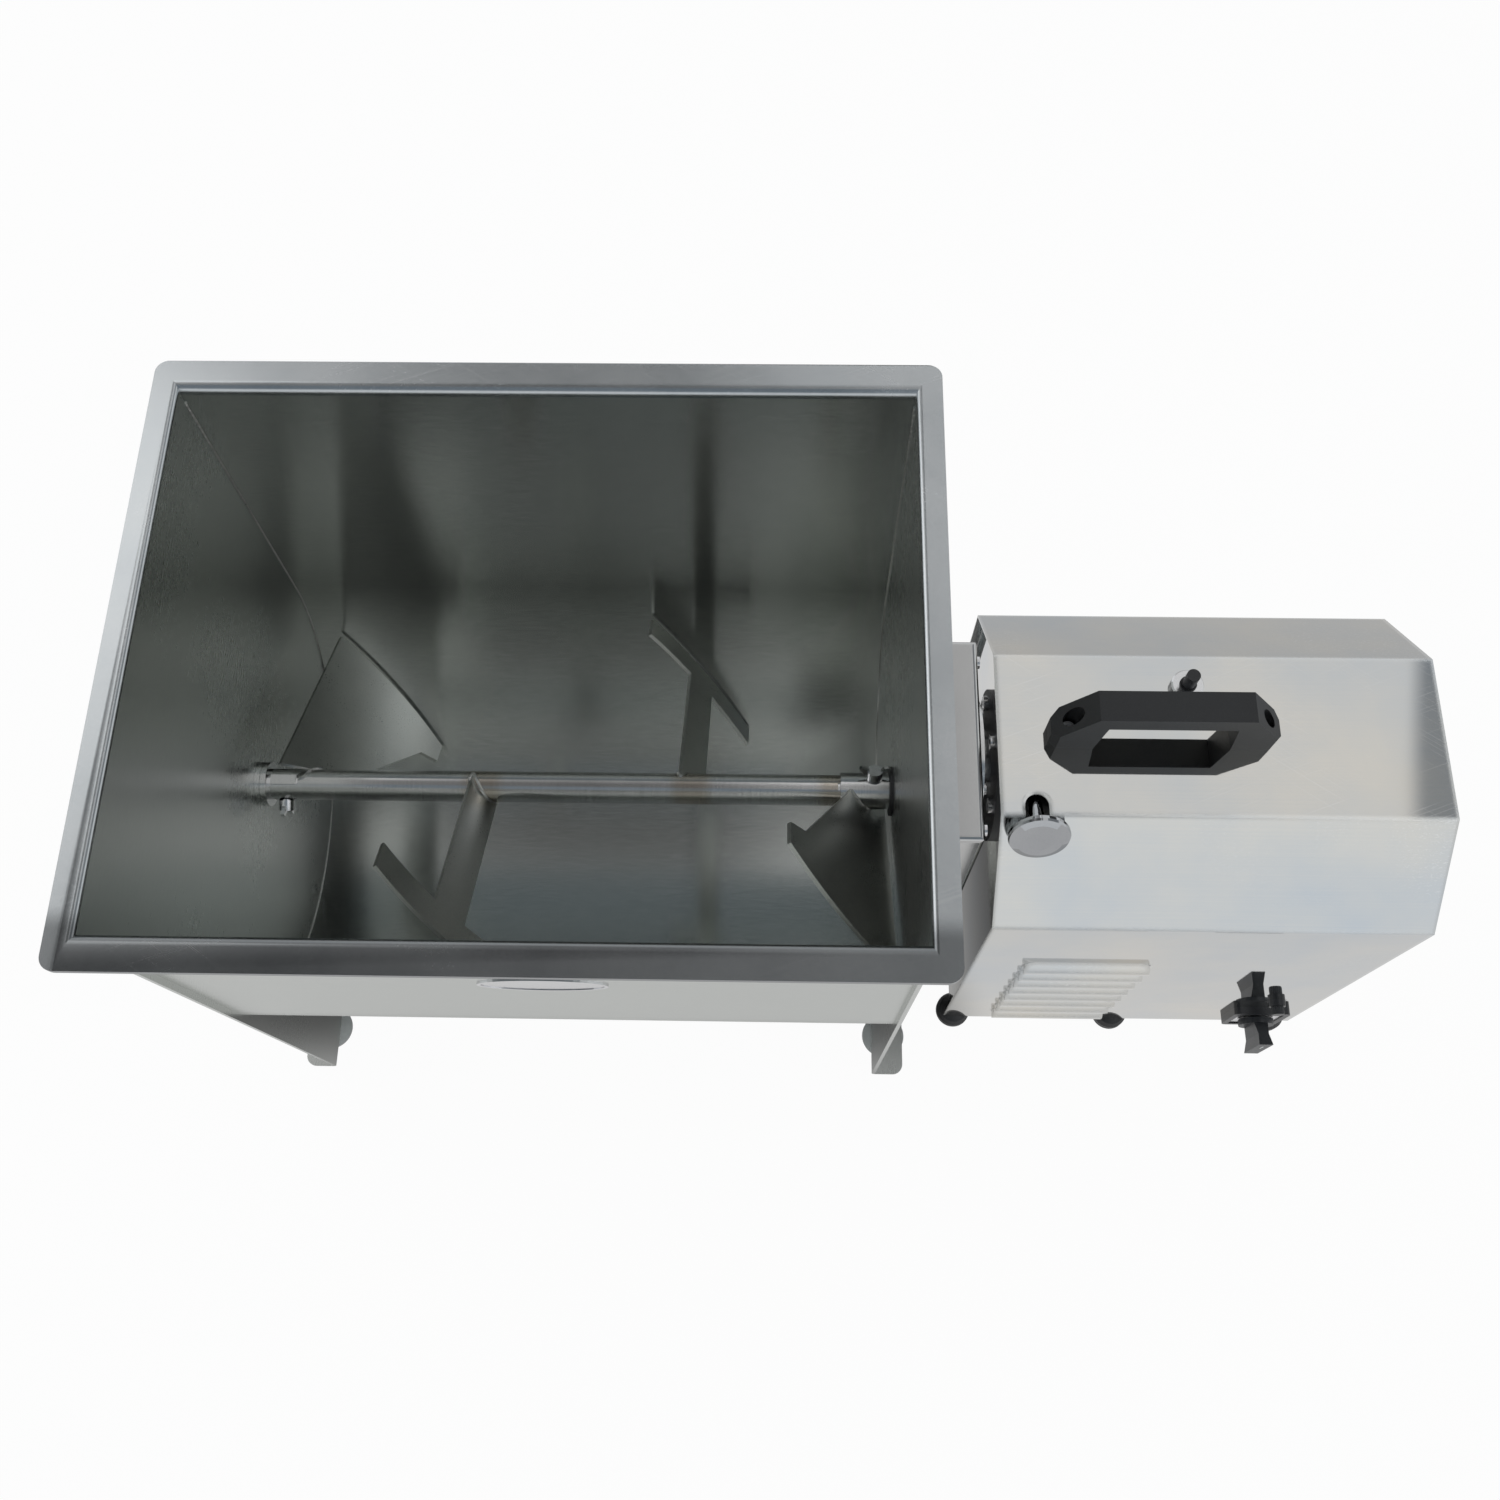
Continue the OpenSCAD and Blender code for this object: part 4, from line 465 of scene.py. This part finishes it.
# %% [markdown]
# The tank is bent and welded from rolled sheet. Its long walls were brushed lengthwise and mirror the studio
# in streaks from rim to rim; the end plates were brushed the other way and are duller. The rim is ground and
# bluish, the badge plate is the brightest, and the gear cover is a plainer, darker sheet brushed upright.
# Each gets its own row, because colour, brushing and shine differ and nothing else does.

# %% The tank's steels
metal("tank_sheet", (0.54, 0.56, 0.54), (0.65, 0.665, 0.64), (0.19, 0.25), SHEET, 5.0, lines=0.7, bump=0.01,
      streak=0.8)
metal("tank_plate", (0.56, 0.575, 0.555), (0.65, 0.66, 0.64), (0.25, 0.31), PLATE, 5.0, lines=0.35,
      bump=0.004)
# The rim's front roll is painted darker, down to 0.45 of its colour: a painted shade
metal("rim_steel", (0.44, 0.465, 0.48), (0.57, 0.59, 0.60), (0.2, 0.28), EVEN, 14.0, lines=0.3, bump=0.004,
      hairlines=0.12, front_shade_share=0.45)
metal("badge_steel", (0.62, 0.62, 0.63), (0.76, 0.76, 0.77), (0.15, 0.25), ALONG_X, 20.0)
metal("cover_steel", (0.46, 0.46, 0.46), (0.58, 0.58, 0.57), (0.12, 0.2), ALONG_Z, 9.0, lines=0.4, bump=0.01)
print("tank steels:", ", ".join(finishes))

# %% [markdown]
# The shaft turns under the meat. Its tube and axles are turned on a lathe, so their fine lines run round
# them, and the tube carries a heat tint beside each weld. The paddles are cut from plate and are an even,
# duller grey, as if blasted. A weld bead is rough as well as rippled, so it has the strongest bump of all
# the steels.

# %% The shaft's steels
FRONT_PADDLE_X, BACK_PADDLE_X, COLLAR_EDGE_X = -0.244, -0.084, 0.028
metal("turned_steel", (0.58, 0.58, 0.58), (0.76, 0.76, 0.75), (0.12, 0.2), TURNED, 12.0)
metal("tube_steel", (0.54, 0.54, 0.54), (0.7, 0.7, 0.69), (0.12, 0.2), TURNED, 12.0,
      welds=(FRONT_PADDLE_X, BACK_PADDLE_X, COLLAR_EDGE_X))
metal("paddle_steel", (0.56, 0.57, 0.55), (0.68, 0.685, 0.66), (0.26, 0.34), EVEN, 30.0, lines=0.6,
      bump=0.006)
metal("weld_steel", (0.5, 0.5, 0.49), (0.68, 0.67, 0.64), (0.25, 0.4), EVEN, 60.0, lines=0.7, bump=0.3)
print("with the shaft's:", len(finishes), "finishes")

# %% [markdown]
# The motor box is folded from polished sheet. It is almost a mirror, so it needs hardly any grain: a little
# warmth and blue in wide clouds, hairlines from wiping, and rounded bends that catch a bright and a dark
# line. Its knob is chromed, which is darker than steel and sharper, and its screws and nuts are bright. The
# handle's screws sit in shaded pockets, so their bright metal is painted lighter still: a painted highlight.

# %% The box's steels
metal("box_steel", (0.56, 0.60, 0.64), (0.73, 0.70, 0.64), (0.012, 0.05), ALONG_X, 7.0, lines=0.15,
      bump=0.004, bend=0.0045, hairlines=0.35)
metal("knob_chrome", (0.38, 0.39, 0.41), (0.48, 0.49, 0.5), (0.03, 0.08), EVEN, 16.0, lines=0.2, bump=0.005)
metal("bright_fittings", (0.62, 0.62, 0.63), (0.78, 0.78, 0.78), (0.12, 0.22), EVEN, 30.0)
# Bright metal painted lighter than the other fittings, a painted highlight for screws that sit in shaded
# pockets
metal("lightened_screw_heads", (0.82, 0.82, 0.83), (0.92, 0.92, 0.93), (0.4, 0.5), EVEN, 60.0)
metal("switch_metal", (0.66, 0.66, 0.67), (0.78, 0.78, 0.79), (0.2, 0.3), ALONG_X, 30.0)
print("with the box's:", len(finishes), "finishes")

# %% [markdown]
# Inside the box and the gear cover nothing is polished: oiled gear steel, plain sheet, the motor's cast
# alloy shell, and bronze bushes. They show in the gaps and when a panel is taken away, so they get quiet
# finishes of their own and no special effects.

# %% The metals inside
metal("gear_steel", (0.3, 0.3, 0.3), (0.44, 0.44, 0.43), (0.3, 0.42), EVEN, 20.0)
metal("inner_steel", (0.42, 0.42, 0.42), (0.56, 0.56, 0.56), (0.3, 0.45), EVEN, 9.0)
metal("motor_alloy", (0.26, 0.28, 0.3), (0.36, 0.38, 0.4), (0.4, 0.5), EVEN, 20.0)
metal("bearing_bronze", (0.52, 0.37, 0.17), (0.68, 0.5, 0.26), (0.22, 0.34), EVEN, 24.0)
print("metals:", ", ".join(finishes))

# %% [markdown]
# The rest is moulded or cast: black rubber, matte and glossy black plastic, painted iron and one white
# inlay. Flat colour and gloss would look like a drawing, because no moulding is quite even. The same grain
# group, not stretched, breaks up both and gives the skin its fine relief.

# %% Mouldings and castings
MOULD_CLOUDS, MOULD_DEPTH = 25.0, 0.0003


def moulded(name, dark, light, rough, fineness=900.0, bump=0.1):
    """A moulding from its dark and light colour and its roughness."""
    material, tree = blank_material(name)
    surface = grain(tree, dark, light, rough, (fineness, fineness, fineness), MOULD_CLOUDS)
    relief = new_node(tree, "ShaderNodeBump", (-300, -250),
                      {"Strength": bump, "Distance": MOULD_DEPTH, "Height": surface["Lines"]})
    skin = new_node(tree, "ShaderNodeBsdfPrincipled", (0, 0),
                    {"Base Color": surface["Color"], "Roughness": surface["Roughness"],
                     "Normal": relief.outputs["Normal"]})
    new_node(tree, "ShaderNodeOutputMaterial", (300, 0), {"Surface": skin.outputs[0]})
    finishes[name] = material


metals = len(finishes)
moulded("seal_rubber", (0.03, 0.03, 0.032), (0.05, 0.05, 0.052), (0.5, 0.65))
moulded("foot_rubber", (0.012, 0.012, 0.013), (0.024, 0.024, 0.025), (0.42, 0.55))
moulded("handle_plastic", (0.014, 0.015, 0.016), (0.026, 0.027, 0.029), (0.4, 0.52), 700.0, 0.25)
moulded("switch_plastic", (0.014, 0.015, 0.017), (0.03, 0.031, 0.034), (0.28, 0.4))
moulded("knob_plastic", (0.016, 0.018, 0.021), (0.032, 0.034, 0.038), (0.3, 0.42))
moulded("casting_iron", (0.05, 0.05, 0.052), (0.09, 0.09, 0.092), (0.4, 0.6), 500.0, 0.4)
moulded("stator_iron", (0.16, 0.09, 0.05), (0.3, 0.18, 0.1), (0.35, 0.5), 400.0, 0.3)
moulded("pointer_white", (0.72, 0.72, 0.7), (0.82, 0.82, 0.8), (0.4, 0.5))
print("mouldings:", len(finishes) - metals)

# %% [markdown]
# The suction cups under the feet are clear soft vinyl. Plain glass would look too hard and too bright, so
# the vinyl is a little rough and lets only most of the light through.

# %% Clear vinyl for the suction cups
VINYL = {"Base Color": (0.86, 0.9, 0.89, 1), "Roughness": 0.18, "IOR": 1.46, "Transmission Weight": 0.7}

vinyl, tree = blank_material("cup_vinyl")
skin = new_node(tree, "ShaderNodeBsdfPrincipled", (0, 0), VINYL)
new_node(tree, "ShaderNodeOutputMaterial", (300, 0), {"Surface": skin.outputs[0]})
finishes["cup_vinyl"] = vinyl
print("cup_vinyl lets through", VINYL["Transmission Weight"], "of the light")

# %% [markdown]
# Now every solid takes the finish of its slot; three take one of their own. A real edge is never razor
# sharp, and an edge that catches light tells the eye how thick a sheet is. The construction could carry such
# tiny roundings, but they would make it heavy. So the larger solids get a narrow bevel by a modifier here,
# after one that merges the flat faces' triangles. Curved faces are shaded smooth, edges stay sharp.

# %% Dress the solids
# The width of each bevel in metres, and the solids that get it
EDGES = {0.0003: ("badge_plate",),
         0.0004: ("left_end_plate", "right_end_plate", "housing_shell", "gear_cover"),
         0.0005: ("paddle_front", "paddle_back", "paddle_left_end", "paddle_right_end", "wing_bolt"),
         0.0006: ("rim_frame", "switch_bezel", "switch_knob", "shaft_collar"),
         0.0008: ("hub_housing",),
         0.0012: ("handle",)}
edge_of = {name: width for width, names in EDGES.items() for name in names}
# The handle's screws take the finish that is painted lighter, a painted highlight for their shaded pockets
OWN_FINISH = {"axle_bush": "turned_steel", "paddle_shaft": "tube_steel", "handle_screws": "lightened_screw_heads"}
SHARP, FLAT = math.radians(30), math.radians(0.5)


def soften_edges(part, width):
    flat = part.modifiers.new("flat_faces", "DECIMATE")
    flat.decimate_type = "DISSOLVE"
    flat.angle_limit = FLAT
    edge = part.modifiers.new("edge", "BEVEL")
    edge.width = width
    edge.segments = 2
    edge.limit_method = "ANGLE"
    edge.angle_limit = SHARP
    edge.harden_normals = True


for name, part in nodes.items():
    part.data.materials.clear()
    part.data.materials.append(finishes[OWN_FINISH.get(name, slot_of[name])])
    part.data.shade_smooth()
    part.data.set_sharp_from_angle(angle=SHARP)
    if name in edge_of:
        soften_edges(part, edge_of[name])
print("dressed", len(nodes), "solids,", len(edge_of), "with soft edges")

# %% [markdown]
# The small pieces come last: weld beads, a pointer line and a ribbed cap. Each is a mesh of its own, made
# from rings of points that are joined to one surface. A curve object with a round profile could do the
# beads, but not their ripples, and rings do all three.


# %% A surface through rings
def spokes(count, start=0.0):
    """The cosines and sines of a full turn in equal steps."""
    angles = [2 * math.pi * (step + start) / count for step in range(count)]
    return [(math.cos(angle), math.sin(angle)) for angle in angles]


def swept(name, rings, body, finish, closed=False):
    """One piece through all the rings. Its ends are capped, or it closes on itself."""
    count = len(rings[0])
    faces = []
    for near in range(len(rings) if closed else len(rings) - 1):
        far = (near + 1) % len(rings)
        for place in range(count):
            beside = (place + 1) % count
            faces.append((near * count + place, near * count + beside,
                          far * count + beside, far * count + place))
    if not closed:
        faces.append(tuple(reversed(range(count))))
        faces.append(tuple(range((len(rings) - 1) * count, len(rings) * count)))
    mesh = bpy.data.meshes.new(name)
    mesh.from_pydata([tuple(point) for ring in rings for point in ring], [], faces)
    mesh.update()
    piece = bpy.data.objects.new(name, mesh)
    bpy.context.scene.collection.objects.link(piece)
    mesh.shade_smooth()
    mesh.set_sharp_from_angle(angle=SHARP)
    mesh.materials.append(finishes[finish])
    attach(piece, body)


print("helpers ready: spokes, swept")

# %% [markdown]
# A welder moves the torch in small steps, and each step leaves one ripple. So a bead is a string of round
# rings along its path that swell and shrink once every ripple. Half of each ring is buried in the two sheets
# it joins, and what stays outside is the fillet that one sees.

# %% A weld bead
SWELL = 0.18
# A direction that no bead runs along, to turn its rings from
OFF_PATH = Vector((0.31, 0.67, 0.68))


def bead(name, path, radius, body, ripple=0.0012, sides=8, closed=False):
    rings = []
    length = 0.0
    for index, point in enumerate(path):
        before = path[index - 1] if closed or index else point
        after = path[(index + 1) % len(path)] if closed or index + 1 < len(path) else point
        along = (after - before).normalized()
        side = along.cross(OFF_PATH).normalized()
        up = along.cross(side)
        if index:
            length += (point - path[index - 1]).length
        size = radius * (1 + SWELL * math.sin(2 * math.pi * length / ripple))
        rings.append([point + size * (side * cosine + up * sine) for cosine, sine in spokes(sides)])
    swept(name, rings, body, "weld_steel", closed)


print("helper ready: bead, swelling by", SWELL)

# %% [markdown]
# The tank's long sheet meets its end plates inside, and there it is welded all round the trough. A thin bead
# follows that corner from the rim down the wall, round the bottom and up again. Its path could be read off
# the sheet's edge, but the trough is a circle with two leaning walls, so a radius and an angle give it.

# %% Weld beads in the tank's corners
TROUGH_R, AXIS_Z, LEAN = 0.1745, 0.289, math.radians(1.94)
INNER_FACES = {"weld_corner_left": -0.41575, "weld_corner_right": 0.07025}
CORNER_TOP, CORNER_R, CORNER_RIPPLE, CORNER_SIDES = 0.53, 0.0011, 0.002, 6
BEAD_STEP = 0.0006


def corner_path(x):
    """Down the front wall, along the round bottom and up the back wall."""
    half = []
    height = CORNER_TOP - AXIS_Z
    wall_steps = round(height / BEAD_STEP)
    for step in range(wall_steps, 0, -1):
        rise = height * step / wall_steps
        half.append(((TROUGH_R + rise * math.sin(LEAN)) / math.cos(LEAN), AXIS_Z + rise))
    quarter = math.pi / 2 - LEAN
    arc_steps = round(TROUGH_R * quarter / BEAD_STEP)
    for step in range(arc_steps + 1):
        angle = LEAN + quarter * step / arc_steps
        half.append((TROUGH_R * math.cos(angle), AXIS_Z - TROUGH_R * math.sin(angle)))
    return [Vector((x, -y, z)) for y, z in half] + [Vector((x, y, z)) for y, z in reversed(half[:-1])]


for name, x in INNER_FACES.items():
    bead(name, corner_path(x), CORNER_R, "tank", ripple=CORNER_RIPPLE, sides=CORNER_SIDES)
print("corner beads:", ", ".join(INNER_FACES))

# %% [markdown]
# Each paddle is welded to the tube, or to the collar, all round its foot. The tilted blades meet the round
# tube in a line that has no simple formula, so it is read off the blade itself: the outline of those of its
# points that lie on the round surface it stands on. The beads turn with the shaft.

# %% Weld beads round the paddles' feet
TUBE_R, COLLAR_R = 0.012, 0.014
SEAT_R = {"paddle_left_end": TUBE_R, "paddle_front": TUBE_R, "paddle_back": TUBE_R,
          "paddle_right_end": COLLAR_R}
FOOT_R, ON_SURFACE = 0.0013, 0.0001


def foot_path(part, seat):
    """The closed line in which a paddle meets a round seat about the shaft's axis."""
    touching = []
    for vertex in part.data.vertices:
        x, y, z = part.matrix_world @ vertex.co
        if abs(math.hypot(y, z - AXIS_Z) - seat) < ON_SURFACE:
            touching.append(Vector((x, y, z - AXIS_Z)))
    middle = sum((Vector((0, spot.y, spot.z)) for spot in touching), Vector()).normalized()
    across = Vector((1, 0, 0)).cross(middle)
    flat = [Vector((spot.x, seat * math.atan2(spot.dot(across), spot.dot(middle)))) for spot in touching]
    outline = [flat[index] for index in convex_hull_2d(flat)]
    path = []
    for index, start in enumerate(outline):
        end = outline[(index + 1) % len(outline)]
        steps = max(1, round((end - start).length / BEAD_STEP))
        for step in range(steps):
            x, arc = start.lerp(end, step / steps)
            outward = middle * math.cos(arc / seat) + across * math.sin(arc / seat)
            path.append(Vector((x, 0, AXIS_Z)) + seat * outward)
    return path


for name, seat in SEAT_R.items():
    path = foot_path(nodes[name], seat)
    bead("weld_" + name, path, FOOT_R, "mixer_rotor", closed=True)
    print(name, "weld of", len(path), "steps")

# %% [markdown]
# A white line is pressed into the end of the switch knob's grip, so that one sees where it points. It could
# be a stripe in the knob's colour, but a thin inlay keeps its crisp rounded ends and turns with the knob.
# It is an outline, pushed straight along Y.

# %% The switch's pointer line
POINTER_HALF_WIDTH, POINTER_LOW, POINTER_HIGH, POINTER_POINTS = 0.0007, 0.004, 0.0125, 16
POINTER_SUNK, POINTER_PROUD = 0.001, 0.0002

knob_low, knob_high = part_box("switch_knob")
switch_x, switch_z = (knob_low[0] + knob_high[0]) / 2, (knob_low[2] + knob_high[2]) / 2
outline = []
for cosine, sine in spokes(POINTER_POINTS, 0.5):
    end = POINTER_HIGH if sine > 0 else POINTER_LOW
    outline.append((switch_x + POINTER_HALF_WIDTH * cosine, switch_z + end + POINTER_HALF_WIDTH * sine))
rings = [[Vector((x, knob_low[1] + lift, z)) for x, z in outline] for lift in (POINTER_SUNK, -POINTER_PROUD)]
swept("switch_pointer", rings, "switch", "pointer_white")
print("pointer line of", round(1000 * (POINTER_HIGH - POINTER_LOW), 1), "mm")

# %% [markdown]
# The fuse's cap is turned by hand when the fuse is changed, so it has fine ridges all round. Each could be
# a small bar of its own, but one toothed outline round the cap, pushed along Y between its two ends, gives
# all of them in one piece.

# %% The fuse cap's ridges
RIDGES, RIDGE_POINTS, CAP_R, CAP_LEN = 22, 4, 0.005, 0.007
RIDGE_HIGH, RIDGE_LOW, RIDGE_MARGIN = 0.0003, 0.00005, 0.0008

fuse_low, fuse_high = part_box("fuse_holder")
fuse_x, fuse_z = (fuse_low[0] + fuse_high[0]) / 2, (fuse_low[2] + fuse_high[2]) / 2
outline = []
for index, (cosine, sine) in enumerate(spokes(RIDGE_POINTS * RIDGES)):
    size = CAP_R + (RIDGE_HIGH if index % RIDGE_POINTS < RIDGE_POINTS / 2 else RIDGE_LOW)
    outline.append((fuse_x + size * cosine, fuse_z + size * sine))
rings = [[Vector((x, fuse_low[1] + depth, z)) for x, z in outline]
         for depth in (CAP_LEN - RIDGE_MARGIN, RIDGE_MARGIN)]
swept("fuse_cap_ridges", rings, "motor_unit", "knob_plastic")
print("fuse cap with", RIDGES, "ridges")
